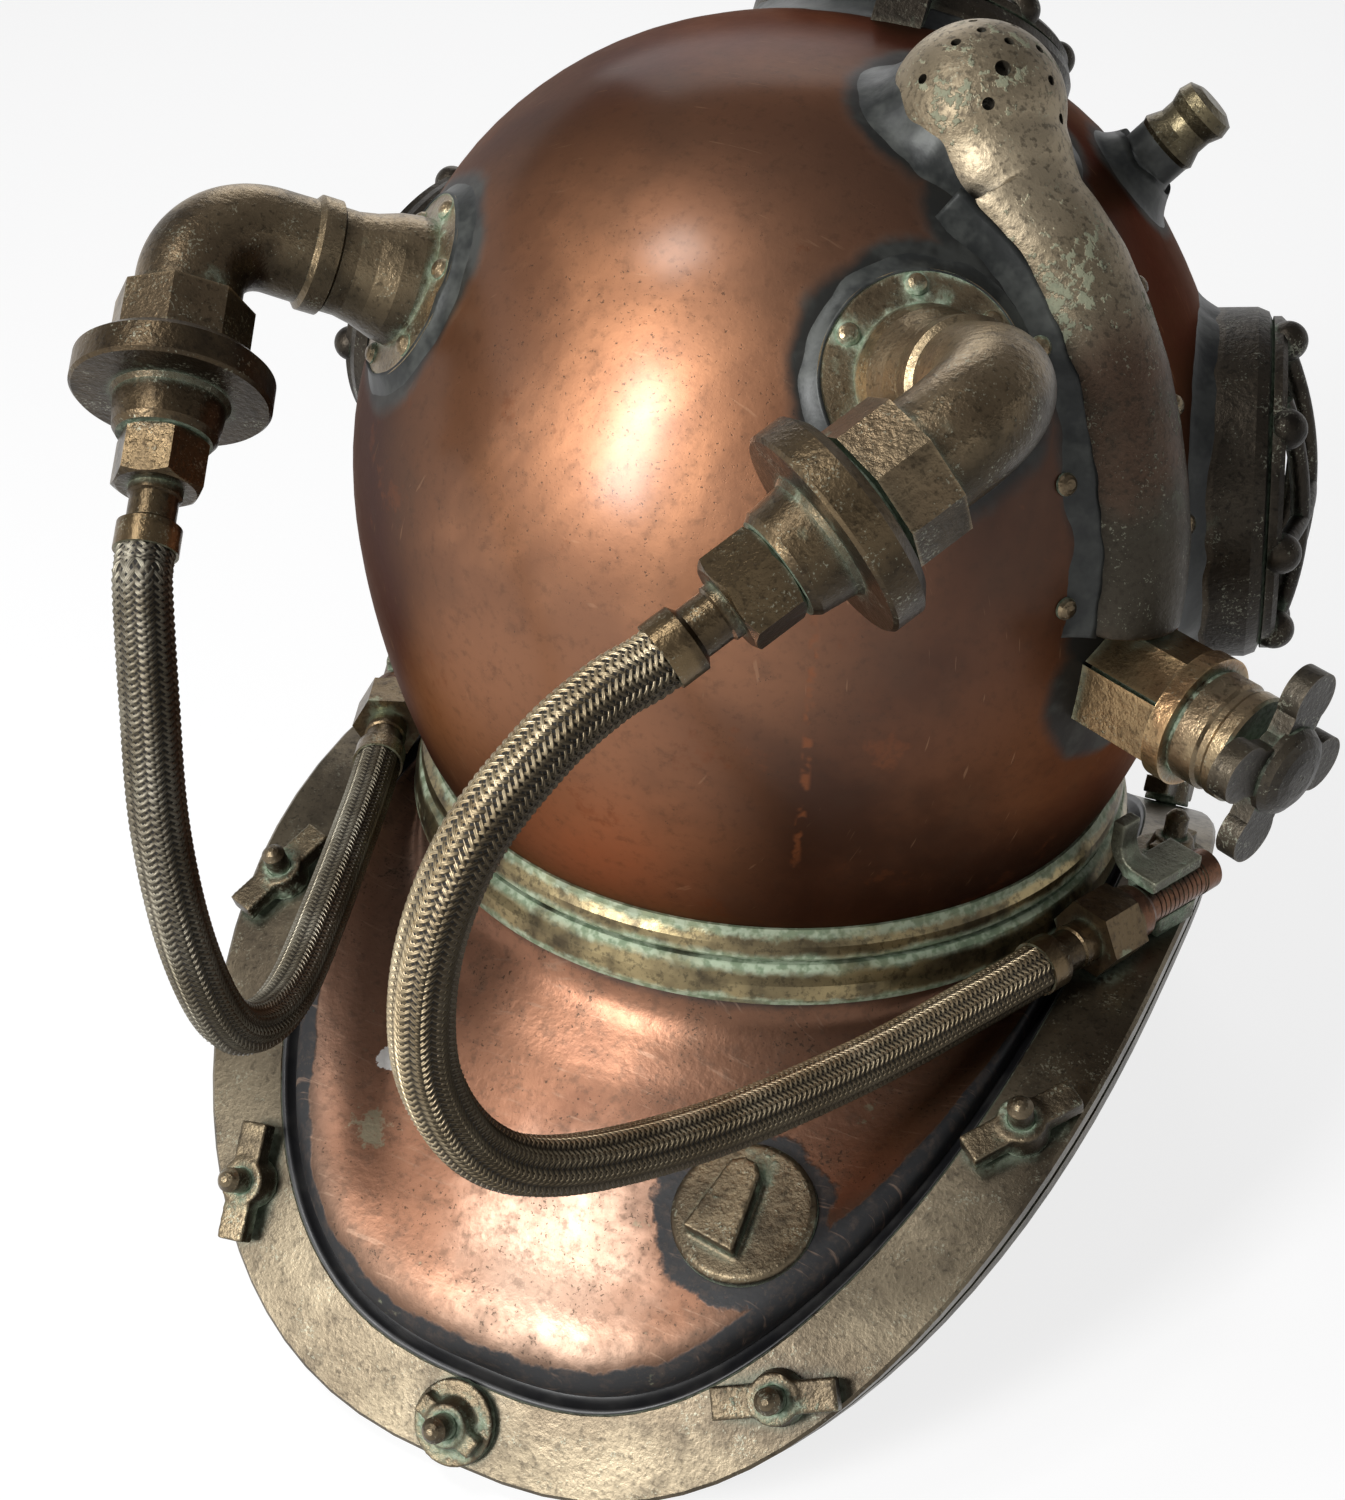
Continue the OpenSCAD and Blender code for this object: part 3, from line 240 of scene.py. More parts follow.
floor.data.materials.append(paper.material)
floor.data.shade_smooth()
scene.collection.objects.link(floor)
world = bpy.data.worlds.new("room")
scene.world = world
world.use_nodes = True
room = Net(world.node_tree)
room.tree.nodes.clear()
dim = room.node("ShaderNodeBackground", {}, {"Color": (0.80, 0.80, 0.84), "Strength": 0.22})
room.node("ShaderNodeOutputWorld", {}, {"Surface": dim})

# Breastplate: one sheet of copper, beaten into a saddle that runs from the round neck
# ring down over the shoulders to the squared rim. The soldered seam along the rim and
# round the boss on the back is blackened.
rim = dict(half=164, back=229.5, front=212, shift=16, square=2.63, shoulder=19.5, drop=118, sweep=1.8, pitch=38,
           pitch_sweep=2.8)


def rooted(v, p):
    return math.copysign(abs(v) ** p, v)


def rim_point(t):
    """The outer edge of the rim at t degrees from the diver's left."""
    c, s = math.cos(math.radians(t)), math.sin(math.radians(t))
    return Vector((rim["half"] * rooted(c, 2 / rim["square"]),
                   rim["shift"] + rim["back" if s > 0 else "front"] * rooted(s, 2 / rim["square"]),
                   -rim["shoulder"] - rim["drop"] * abs(s) ** rim["sweep"]))


def rim_axes(t):
    """Direction along the rim, upright to the band, and across it towards the neck."""
    a, b = rim_point(t - 0.7), rim_point(t + 0.7)
    lean = math.radians(90 - (90 - rim["pitch"]) * abs(math.sin(math.radians(t))) ** rim["pitch_sweep"])
    out = math.atan2(a.x - b.x, b.y - a.y)
    along = (b - a).normalized()
    n = Vector((math.cos(out) * math.cos(lean), math.sin(out) * math.cos(lean), math.sin(lean)))
    n = (n - along * n.dot(along)).normalized()
    return along, n, n.cross(along)


def band(t, u, n):
    """A point u mm in from the edge of the rim and n mm above its face."""
    along, up, inward = rim_axes(t)
    return rim_point(t) + inward * u + up * n


def saddle(t, s):
    """A point of the copper at t degrees, from the neck at s 0 to its foot at s 1."""
    c, d = math.cos(math.radians(t)), math.sin(math.radians(t))
    a, foot = Vector((126.5 * c, 126.5 * d, -14.5)), band(t, 32, -9)
    reach = (foot - a).length
    b, e = a - Vector((0, 0, 0.36 * reach)), foot + rim_axes(t)[1] * 0.40 * reach
    return a * (1 - s) ** 3 + b * 3 * (1 - s) ** 2 * s + e * 3 * (1 - s) * s * s + foot * s ** 3


def plain_piece(name, points, faces, material):
    """A smooth piece of the helmet from its own points and faces."""
    mesh = bpy.data.meshes.new(name)
    mesh.from_pydata([tuple(p) for p in points], [], faces)
    mesh.materials.append(material)
    mesh.shade_smooth()
    mesh.update()
    piece = bpy.data.objects.new(name, mesh)
    scene.collection.objects.link(piece)
    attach(piece, "helmet")
    return piece


def saddle_sheet():
    """Outer and inner face of the saddle, closed at the neck and at the foot."""
    around, down = 240, 48
    outer, normals, share = [], [], []
    for i in range(around):
        t = i * 360 / around
        for j in range(down + 1):
            s = j / down
            p = saddle(t, s)
            n = (saddle(t + 1, s) - saddle(t - 1, s)).cross(saddle(t, min(s + 0.02, 1)) - saddle(t, max(s - 0.02, 0)))
            n = (-n).normalized()
            if s < 0.001:
                n = Vector((math.cos(math.radians(t)), math.sin(math.radians(t)), 0))
            swell = 1.3 * math.exp(-((s - 0.20) / 0.045) ** 2) - 0.8 * math.exp(-((s - 0.11) / 0.04) ** 2)
            swell *= min(1, 12 * s) * (0.75 + 0.25 * math.sin(math.radians(3 * t)))
            outer.append((p + n * swell) / 1000)
            normals.append(n)
            share.append(s)
    count, thick = len(outer), 0.003
    inner = [p - n * thick for p, n in zip(outer, normals)]

    def at(i, j):
        return (i % around) * (down + 1) + j

    faces = []
    for i in range(around):
        for j in range(down):
            faces.append((at(i, j), at(i, j + 1), at(i + 1, j + 1), at(i + 1, j)))
            faces.append(tuple(count + v for v in (at(i, j), at(i + 1, j), at(i + 1, j + 1), at(i, j + 1))))
        faces.append((at(i, 0), at(i + 1, 0), count + at(i + 1, 0), count + at(i, 0)))
        faces.append((at(i, down), count + at(i, down), count + at(i + 1, down), at(i + 1, down)))
    return outer + inner, faces, share * 2


def patch(look, centre, size, soft, uneven):
    """1 inside a ragged round patch of the given size in metres."""
    return 1 - (look.away(centre) + uneven).step(size, size + soft)


points, faces, share = saddle_sheet()
breast = Finish("breast_copper_old")
down = breast.node("ShaderNodeAttribute", {"attribute_name": "down"}, out="Fac")
cloud = breast.noise(11, 5, 0.6)
blotch = breast.noise(48, 5, 0.6)
grit = breast.noise(420, 3)
boss_at = saddle(120, 0.5) / 1000
ragged = breast.noise(85, 4, 0.65) - 0.5
black = (down + ragged * 0.08 - breast.y.step(0.165, 0.215) * 0.115).step(0.682, 0.698)
black = black.maths("MAXIMUM", patch(breast, tuple(boss_at), 0.0285, 0.0025, ragged * 0.016))
black = black.maths("MAXIMUM", 1 - (down + ragged * 0.04).step(0.03, 0.07))
shade = breast.mix(cloud.step(0.40, 0.66), (0.34, 0.165, 0.098), (0.19, 0.087, 0.054))
shade = breast.mix(blotch.step(0.50, 0.78) * 0.5, shade, (0.09, 0.062, 0.042))
skirt = (down + (cloud - 0.5) * 0.3).step(0.60, 0.76)
shade = breast.mix(skirt * 0.72, shade, (0.085, 0.06, 0.043))
# Painted shade: the breastplate is darker towards the diver's right and front, the side away from the key lamp.
painted_shade_right = (breast.x * -1 - (breast.y - 0.15) * 0.6 + (cloud - 0.5) * 0.12).step(-0.03, 0.06)
shade = breast.mix(painted_shade_right * 0.62, shade, (0.075, 0.042, 0.027))
shade = breast.mix(breast.x.step(0.045, 0.10) * 0.55, shade, (0.13, 0.09, 0.068))
# Painted highlight: a pale hot spot low on the back of the breastplate, also made smoother there.
painted_highlight = patch(breast, (-0.014, 0.197, -0.077), 0.006, 0.044, (blotch - 0.5) * 0.04)
shade = breast.mix(painted_highlight * 0.7, shade, (0.60, 0.42, 0.31))
shade = breast.mix(black, shade, (0.010, 0.010, 0.011))
leathery = breast.noise(230, 4, 0.7)
shade = breast.mix(leathery.step(0.47, 0.70) * 0.45, shade, (0.075, 0.05, 0.036))
pits = (breast.noise(700, 2, 0.7) + (blotch - 0.5) * 0.5).step(0.64, 0.70)
shade = breast.mix(pits * 0.7, shade, (0.04, 0.028, 0.02))
moss = (breast.noise(34, 5, 0.75) + (leathery - 0.5) * 0.4).step(0.66, 0.72)
shade = breast.mix(moss * 0.45, shade, (0.24, 0.26, 0.17))
streak = breast.noise(60, 3, 0.6, place=breast.stretched((0.3, 0.2, 0.9), (1, 10, 1))).step(0.60, 0.72)
shade = breast.mix(streak * 0.3, shade, (0.40, 0.26, 0.18))
lime = patch(breast, (0.0628, 0.1854, -0.0691), 0.0025, 0.004, (leathery - 0.5) * 0.03)
shade = breast.mix(lime * 0.6, shade, (0.36, 0.37, 0.25))
chip = patch(breast, (0.0704, 0.1628, -0.0586), 0.0036, 0.0005, (leathery - 0.5) * 0.008)
shade = breast.mix(chip, shade, (0.92, 0.90, 0.86))
rough = blotch * 0.16 + leathery * 0.14 + black * 0.12 - painted_highlight * 0.07 + skirt * 0.10 + 0.24
breast = breast.done(shade, rough, 0.88 - black * 0.82 - chip * 0.06,
                     blotch + grit * 0.3 + leathery * 0.4 + black * 0.5, 0.34, 0.0007)
plate = plain_piece("breastplate_saddle", points, faces, breast)
field = plate.data.attributes.new("down", "FLOAT", "POINT")
field.data.foreach_set("value", share)
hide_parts("breastplate_shell")

# Rim sealant: the hollow between the copper and the brails is filled with a black sealant,
# drawn smooth with a finger
def face_outward(piece):
    made = bmesh.new()
    made.from_mesh(piece.data)
    bmesh.ops.recalc_face_normals(made, faces=made.faces)
    made.to_mesh(piece.data)
    made.free()


tar = Finish("rim_sealant_old")
wave = tar.noise(60, 3)
shade = tar.mix(wave.step(0.4, 0.7), (0.008, 0.008, 0.009), (0.024, 0.023, 0.022))
tar = tar.done(shade, wave * 0.25 + 0.30, 0.0, wave, 0.3, 0.001)
points, faces = [], []
around, fine = 360, 9
for i in range(around):
    t = i * 360 / around
    edge, deep = band(t, 27.6, -0.7), band(t, 33.0, -12.5)
    spread = 0.735 + 0.035 * noise.noise(edge * 0.03) + 0.02 * noise.noise(edge * 0.09)
    rest = saddle(t, spread)
    up = rim_axes(t)[1]
    top = [edge * (1 - k) ** 2 + deep * 2 * k * (1 - k) + rest * k * k + up * (0.9 - 1.3 * k)
           for k in (j / fine for j in range(fine + 1))]
    low = [p - up * 2.2 for p in top]
    points += [p / 1000 for p in top + low[::-1]]
wide = 2 * (fine + 1)
for i in range(around):
    a, b = i * wide, (i + 1) % around * wide
    faces += [(a + j, a + (j + 1) % wide, b + (j + 1) % wide, b + j) for j in range(wide)]
face_outward(plain_piece("rim_sealant", points, faces, tar))

# Rim: brass flange under a black rubber collar gasket, and four brails pressed on it by
# twelve studs with cast wing nuts
def old_metal(name, bright, dull, dark, green=0.5, rough=0.36, grain=1.0, orange=0.0, metal=0.9, under=0.72):
    """Cast or sheet metal: brown clouds, painted shade with grime in corners, painted shade on undersides, verdigris,
    worn edges.
    """
    look = Finish(name)
    cloud = look.noise(17, 4)
    blotch = look.noise(62, 5, 0.62)
    grit = look.noise(520, 3, 0.6)
    dust = look.noise(1100, 2, 0.7)
    edge = look.corners(0.0022, True)
    # Corners found by ambient occlusion, with grime: painted shade darkens them and verdigris grows there.
    shade_and_grime = 1 - (look.corners(0.008) + (blotch - 0.5) * 0.7 + (grit - 0.5) * 0.25).step(0.42, 0.90)
    worn = 1 - (edge + (blotch - 0.5) * 0.5).step(0.35, 0.72)
    crust = shade_and_grime * 0.70 + (look.noise(38, 5, 0.7) - 0.5) * 1.7 + (grit - 0.5) * 0.5 + green * 0.36 - 0.2
    crust = crust.step(0.30, 0.52)
    shade = look.mix(cloud.step(0.38, 0.66), bright, dull)
    shade = look.mix(blotch.step(0.46, 0.72) * 0.7, shade, dark)
    if orange:
        shade = look.mix(look.noise(30, 3).step(0.50, 0.62) * orange, shade, (0.40, 0.155, 0.06))
    shade = look.mix(grit.step(0.52, 0.70) * 0.55, shade, tuple(c * 0.6 for c in dark))
    # Painted shade with grime: the corners are darkened.
    shade = look.mix(shade_and_grime * 0.8, shade, tuple(c * 0.35 for c in dark))
    # Painted shade: faces turned down, away from the lamps, are darkened by the amount under.
    below = 1 - (look.up + (cloud - 0.5) * 0.5).step(-0.25, 0.62)
    shade = look.mix(below * under, shade, tuple(c * 0.55 for c in dark))
    shade = look.mix(worn * 0.6, shade, tuple(min(1, c * 1.35) for c in bright))
    chalk = (dust + (look.noise(90, 4, 0.65) - 0.5) * 0.9).step(0.66, 0.74)
    shade = look.mix(chalk * (0.25 + green * 0.4), shade, (0.34, 0.35, 0.26))
    patina = look.mix(grit.step(0.35, 0.65), (0.16, 0.23, 0.15), (0.38, 0.46, 0.34))
    covered = crust * min(1, green * 1.6)
    shade = look.mix(covered, shade, patina)
    height = grit * 0.55 + blotch * 1.0 + crust * 0.5 + dust * 0.2
    return look.done(shade, covered * 0.35 + blotch * 0.24 + grit * 0.14 + (rough - 0.17),
                     metal - covered * 0.7 - shade_and_grime * 0.35 - chalk * 0.3, height, 0.55 * grain, 0.0008)


def paint_node(slot, material):
    """Gives a finish to every CAD node that has the slot."""
    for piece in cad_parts.values():
        for held in piece.material_slots:
            if held.material and held.material.name.split(".")[0] == slot:
                held.material = material


def fused(name, nodes, material, angle=32):
    """CAD nodes as one smooth piece, their loose triangles joined at the seams."""
    made = bmesh.new()
    for node in nodes:
        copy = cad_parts[node].data.copy()
        copy.transform(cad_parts[node].matrix_world)
        made.from_mesh(copy)
        bpy.data.meshes.remove(copy)
    bmesh.ops.remove_doubles(made, verts=made.verts, dist=0.00001)
    for face in made.faces:
        face.material_index = 0
    mesh = bpy.data.meshes.new(name)
    made.to_mesh(mesh)
    made.free()
    if "custom_normal" in mesh.attributes:
        mesh.attributes.remove(mesh.attributes["custom_normal"])
    mesh.materials.clear()
    mesh.materials.append(material)
    mesh.shade_smooth()
    mesh.set_sharp_from_angle(angle=math.radians(angle))
    piece = bpy.data.objects.new(name, mesh)
    scene.collection.objects.link(piece)
    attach(piece, "helmet")
    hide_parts(*nodes)
    return piece


def moulded(piece, grain, turns):
    """Rounds the edges and joints of a piece, as sand casting and wear leave them."""
    cast = piece.modifiers.new("cast", "REMESH")
    cast.mode, cast.voxel_size = "VOXEL", grain
    mesh = bpy.data.meshes.new_from_object(piece.evaluated_get(bpy.context.evaluated_depsgraph_get()))
    piece.modifiers.clear()
    made = bmesh.new()
    made.from_mesh(mesh)
    for turn in range(turns):
        bmesh.ops.smooth_vert(made, verts=made.verts, factor=0.5, use_axis_x=True, use_axis_y=True, use_axis_z=True)
    made.to_mesh(mesh)
    made.free()
    mesh.name = piece.name
    mesh.materials.clear()
    mesh.materials.append(piece.data.materials[0])
    mesh.shade_smooth()
    piece.data = mesh
    return piece


brail = old_metal("brail_brass_old", (0.195, 0.160, 0.108), (0.10, 0.079, 0.053), (0.045, 0.036, 0.026), 0.22,
                  0.33, 0.35)
for part in ("front_right", "front_left", "back_right", "back_left"):
    fused("brail_" + part + "_bar", ["brail_" + part], brail)
fused("flange_plate", ["rim_flange"],
      old_metal("flange_brass_old", (0.16, 0.12, 0.075), (0.09, 0.07, 0.045), (0.035, 0.03, 0.02), 0.2))
nut = old_metal("nut_brass_old", (0.20, 0.155, 0.095), (0.11, 0.085, 0.055), (0.035, 0.028, 0.02), 0.85, 0.4, 1.3)
paint_node("nut_brass", nut)
moulded(fused("wing_nuts_flanged", ["flanged_wing_nuts"], nut, 180), 0.0006, 3)
moulded(fused("wing_nuts_plain", ["plain_wing_nuts"], nut, 180), 0.0006, 3)
moulded(fused("back_boss_cast", ["back_boss"], nut, 180), 0.0006, 5)
gasket = Finish("gasket_rubber_old")
dust = gasket.noise(60, 4)
shade = gasket.mix(dust.step(0.4, 0.8), (0.012, 0.012, 0.012), (0.05, 0.045, 0.04))
paint_node("gasket_rubber", gasket.done(shade, 0.75, 0.0, dust, 0.2))

# Neck rings: two turned brass rings with a leather washer between them, held by two bent
# bronze hooks. Verdigris has grown out of the groove.
ring = Finish("ring_brass_old")
rough_edge = ring.noise(60, 5, 0.7) - 0.5
cloud = ring.noise(20, 4)
groove = 1 - abs(ring.z + rough_edge * 0.006 - 0.0004).step(0.0016, 0.0048)
ledge = 1 - abs(ring.z + rough_edge * 0.008 - 0.0115).step(0.0010, 0.0032)
under = 1 - abs(ring.z + rough_edge * 0.008 + 0.0142).step(0.0010, 0.0034)
green = groove.maths("MAXIMUM", ledge * 0.8).maths("MAXIMUM", under * 0.9) * ring.noise(26, 3).step(0.30, 0.52)
grit = ring.noise(420, 3, 0.65)
green = green.maths("MAXIMUM", ring.noise(34, 5, 0.7).step(0.60, 0.70) * 0.6)
# Painted shade with grime: corners found by ambient occlusion are darkened almost to black.
grime = 1 - (ring.corners(0.007) + rough_edge * 0.6).step(0.45, 0.95)
shade = ring.mix(cloud.step(0.4, 0.65), (0.34, 0.27, 0.14), (0.17, 0.135, 0.075))
shade = ring.mix(ring.noise(80, 4).step(0.46, 0.70) * 0.75, shade, (0.06, 0.047, 0.03))
shade = ring.mix(grit.step(0.48, 0.66) * 0.6, shade, (0.05, 0.042, 0.028))
shade = ring.mix(grime * 0.7, shade, (0.022, 0.024, 0.018))
verdigris = ring.mix(ring.noise(300, 2).step(0.4, 0.6), (0.22, 0.30, 0.19), (0.46, 0.55, 0.40))
shade = ring.mix(green * 0.9, shade, verdigris)
paint_node("ring_brass", ring.done(shade, green * 0.4 + cloud * 0.2 + grit * 0.14 + 0.17, 0.9 - green * 0.7,
                                   cloud + green * 0.6 + ring.noise(300, 3) * 0.4, 0.4, 0.0006))
leather = Finish("washer_leather_old")
shade = leather.mix(leather.noise(120), (0.05, 0.035, 0.02), (0.14, 0.15, 0.10))
paint_node("washer_leather", leather.done(shade, 0.85, 0.0, leather.noise(300), 0.4))
hook = old_metal("hook_bronze_old", (0.30, 0.30, 0.22), (0.20, 0.20, 0.145), (0.07, 0.065, 0.045), 1.0, 0.45,
                 1.2, 0.0, 0.7)
for side in ("right", "left"):
    moulded(fused(side + "_hook_cast", [side + "_hook"], hook, 180), 0.0005, 9)

# Bonnet: a raised copper dome, satin with brown clouds. Black solder runs out from under
# every fitting, and fine pits show in the polished back.
dome_centre, dome_r = Vector((0, 0, 0.110)), 0.149
dome = Finish("bonnet_copper_old")
offset = dome.node("ShaderNodeVectorMath", {"operation": "SUBTRACT"}, {0: dome.place, 1: tuple(dome_centre)})
ray = dome.node("ShaderNodeVectorMath", {"operation": "NORMALIZE"}, {0: offset})


def near(direction):
    """Cosine of the angle from a direction, seen from the centre of the bonnet."""
    return dome.node("ShaderNodeVectorMath", {"operation": "DOT_PRODUCT"}, {0: ray, 1: direction}, "Value")


def toward(az, el):
    """Unit direction: az degrees from the back towards the diver's right, el degrees up."""
    a, e = math.radians(az), math.radians(el)
    return (-math.sin(a) * math.cos(e), math.cos(a) * math.cos(e), math.sin(e))


ragged = dome.noise(30, 4, 0.55) - 0.5
blackened = ((40, 36.5, 15.2), (-50, 32.5, 15.2), (67, -3, 11.5), (103, 7, 22.6), (-103, 7, 22.6),
             (180, 53, 24.4), (180, 0, 30.4), (70, 65, 14.4), (109, 48, 8.2), (-115, 52, 6.2),
             (-142, -12, 7.2), (67, 5, 10.4), (67.8, 12, 10.4), (68.3, 19, 10.2), (69, 26, 10.2),
             (69.3, 33, 10.2), (69.3, 40, 10.6), (68, 47, 11.4), (65, 54, 12.4))
solder = None
for az, el, reach in blackened:
    inside, outside = math.cos(math.radians(reach - 1.1)), math.cos(math.radians(reach + 1.3))
    foot = (near(toward(az, el)) + ragged * (0.09 * math.sin(math.radians(reach)))).step(outside, inside)
    solder = foot if solder is None else solder.maths("MAXIMUM", foot)
cloud = dome.noise(7.5, 5, 0.6, warp=0.6)
veil = dome.noise(19, 4, 0.6)
blotch = dome.noise(60, 5, 0.62)
grit = dome.noise(600, 2)
# Painted light: a broad lighter glow on the back of the bonnet round its highlight; the rest is dark copper.
painted_glow = (near((0.09, 0.90, 0.43)) + (cloud - 0.5) * 0.3).step(0.66, 1.0)
shade = dome.mix((cloud - painted_glow * 0.14).step(0.34, 0.62), (0.112, 0.047, 0.025), (0.056, 0.025, 0.015))
shade = dome.mix(painted_glow, shade, dome.mix(cloud.step(0.40, 0.60), (0.38, 0.175, 0.088), (0.21, 0.095, 0.050)))
# Painted shade on the bonnet's side towards the diver's left.
shade = dome.mix(near((0.88, 0.46, -0.02)).step(0.70, 0.92) * 0.85, shade, (0.035, 0.015, 0.009))
# Painted light: a lighter patch low on the back of the bonnet, under its highlight.
painted_low_glow = near((0.10, 0.93, -0.36)) + (cloud - 0.5) * 0.12
shade = dome.mix(painted_low_glow.step(0.86, 1.0) * 0.7, shade, (0.34, 0.15, 0.075))
# Painted light: a lighter patch high on the back of the bonnet, towards the diver's right.
shade = dome.mix(near((-0.30, 0.45, 0.84)).step(0.86, 1.0) * 0.5, shade, (0.23, 0.115, 0.068))
shade = dome.mix(veil.step(0.48, 0.78) * 0.45, shade, (0.085, 0.048, 0.030))
shade = dome.mix(blotch.step(0.58, 0.82) * 0.4, shade, (0.07, 0.04, 0.026))
polished = near((0.02, 0.86, 0.50))
halo = polished.step(0.90, 0.97) * (1 - polished.step(0.985, 0.998) * 0.6)
speck = dome.noise(900, 2, 0.7).step(0.63, 0.70)
speck = speck * (blotch + halo * 0.25).step(0.50, 0.70)
shade = dome.mix(speck * 0.75, shade, (0.05, 0.03, 0.02))
leathery = dome.noise(260, 4, 0.7)
shade = dome.mix(leathery.step(0.50, 0.72) * 0.30, shade, (0.05, 0.028, 0.018))
rust = (dome.noise(24, 5, 0.7) + (leathery - 0.5) * 0.3).step(0.60, 0.68)
shade = dome.mix(rust * 0.35, shade, (0.20, 0.065, 0.026))
scratch = dome.noise(70, 2, 0.5, place=dome.stretched((0.5, 0.9, 0.2), (1, 14, 1))).step(0.70, 0.76)
shade = dome.mix(scratch * 0.25, shade, (0.42, 0.24, 0.14))
seam = 1 - abs(dome.x * 0.884 + dome.y * 0.467 + ragged * 0.002 - 0.004).step(0.0005, 0.0022)
seam = seam * dome.z.step(0.035, 0.055) * (1 - dome.z.step(0.125, 0.15)) * dome.y.step(0.0, 0.01)
seam = seam * dome.noise(150, 2).step(0.48, 0.6)
shade = dome.mix(seam * 0.8, shade, (0.22, 0.075, 0.03))
sheen = dome.mix(dome.noise(30, 4, 0.7).step(0.45, 0.62), (0.016, 0.018, 0.017), (0.045, 0.049, 0.045))
shade = dome.mix(solder, shade, sheen)
height = blotch * 0.8 + veil * 1.2 + grit * 0.15 + leathery * 0.25 - speck * 0.6 - seam * 0.8 + solder * 1.2
copper = dome.done(shade, blotch * 0.12 + veil * 0.12 + leathery * 0.10 + solder * 0.12 + 0.30,
                   0.92 - solder * 0.5, height, 0.16, 0.0008,
                   **{"Coat Weight": near((-0.10, 0.80, 0.59)).step(0.45, 0.90) * 0.40, "Coat Roughness": 0.22,
                      "Specular Tint": (0.50, 0.38, 0.32)})
bonnet = fused("bonnet_dome", ["bonnet_shell"], copper, 40)

# Solder: soft solder was run round the foot of every fitting and has blackened since, a
# lumpy bead cast on the sheet under it. It also covers the port's socket and the small
# boss.
lead = Finish("black_solder_old")
lumps = lead.noise(90, 4, 0.55)
shade = lead.mix(lead.noise(45, 4, 0.7).step(0.42, 0.66), (0.018, 0.020, 0.019), (0.062, 0.066, 0.060))
lead = lead.done(shade, lumps * 0.26 + 0.32, 0.25, lumps, 0.35, 0.0012)
paint_node("boss_solder", lead)


def bead(name, sheet, runs):
    """Solder strips on a sheet. A run is rows of (edge, outward, ray, width, height) and whether it closes."""
    tree = BVHTree.FromObject(sheet, bpy.context.evaluated_depsgraph_get())
    points, faces = [], []
    fine, rough = 7, 0.45
    for rows, closed in runs:
        start = len(points)
        for edge, outward, ray, width, height in rows:
            swell = 1 + rough * (noise.noise(edge * 55) + 0.35 * noise.noise(edge * 150))
            top, low = [], []
            for k in range(fine + 1):
                share = k / fine
                p = edge + outward * (width * swell * share - 0.0008)
                hit = tree.ray_cast(p + ray * 0.06, -ray, 0.2)[0] or p
                rise = height * (1 - share) ** 2.2 * (1 + 0.25 * noise.noise(p * 120)) - 0.0002 * share
                top.append(hit + ray * rise)
                low.append(hit - ray * 0.0007)
            points += top + low[::-1]
        count, wide = len(rows), 2 * (fine + 1)
        for i in range(count if closed else count - 1):
            a, b = start + i * wide, start + (i + 1) % count * wide
            faces += [(a + j, b + j, b + (j + 1) % wide, a + (j + 1) % wide) for j in range(wide)]
        if not closed:
            faces.append(tuple(start + j for j in range(wide)))
            faces.append(tuple(start + (count - 1) * wide + j for j in reversed(range(wide))))
    face_outward(plain_piece(name, points, faces, lead))


def round_foot(az, el, radius, width, height, parts=150):
    """The bead round a fitting whose axis goes through the centre of the bonnet."""
    axis = Vector(toward(az, el))
    side = axis.orthogonal().normalized()
    other = axis.cross(side)
    rows = []
    for i in range(parts):
        a = 2 * math.pi * i / parts
        out = side * math.cos(a) + other * math.sin(a)
        level = math.sqrt(dome_r ** 2 - radius ** 2)
        rows.append((dome_centre + axis * level + out * radius, out, axis, width, height))
    return rows, True


cowl_line = [(66.5, 4), (67.2, 9), (67.8, 14), (68, 20), (68.5, 26), (69, 32), (69, 38), (68.6, 44), (67.4, 49),
             (65.4, 54), (62.6, 58.5)]
cowl_half = 0.0185


def smooth_route(points, parts):
    """A Catmull-Rom line through the points, with the given number of parts between two."""
    line = []
    for i in range(len(points) - 1):
        a, b = points[max(i - 1, 0)], points[i]
        c, d = points[i + 1], points[min(i + 2, len(points) - 1)]
        for j in range(parts):
            v = j / parts
            line.append(0.5 * (2 * b + (c - a) * v + (2 * a - 5 * b + 4 * c - d) * v * v
                               + (3 * b - a - 3 * c + d) * v ** 3))
    return line + [points[-1]]


def cowl_side(side):
    """The bead along one long side of the outlet channel."""
    way = smooth_route([Vector(toward(*p)) for p in cowl_line], 6)
    rows = []
    for i in range(len(way)):
        n = way[i].normalized()
        along = (way[min(i + 1, len(way) - 1)] - way[max(i - 1, 0)]).normalized()
        out = along.cross(n).normalized() * side
        rows.append((dome_centre + n * dome_r + out * cowl_half, out, n, 0.011, 0.0045))
    return rows, False


feet = ((40, 36.5, 0.031, 0.0075, 0.0026), (-50, 32.5, 0.031, 0.0075, 0.0026), (103, 7, 0.057, 0.0065, 0.006, 240),
        (-103, 7, 0.057, 0.0065, 0.006, 240), (180, 53, 0.057, 0.010, 0.007, 240),
        (109, 48, 0.0132, 0.008, 0.006, 90), (-115, 52, 0.0095, 0.005, 0.003, 70),
        (-142, -12, 0.013, 0.005, 0.003, 70), (70, 65, 0.0250, 0.012, 0.009))
bead("solder_beads", bonnet, [round_foot(*foot) for foot in feet] + [cowl_side(1), cowl_side(-1)])

# Doubling plates and rivets: round copper plates under the two elbows, riveted through the
# bonnet, and the rivets beside the outlet channel
fitting = old_metal("fitting_copper_old", (0.31, 0.235, 0.14), (0.17, 0.125, 0.075), (0.05, 0.036, 0.024), 0.62,
                    0.34, 1.1)
paint_node("fitting_copper", fitting)

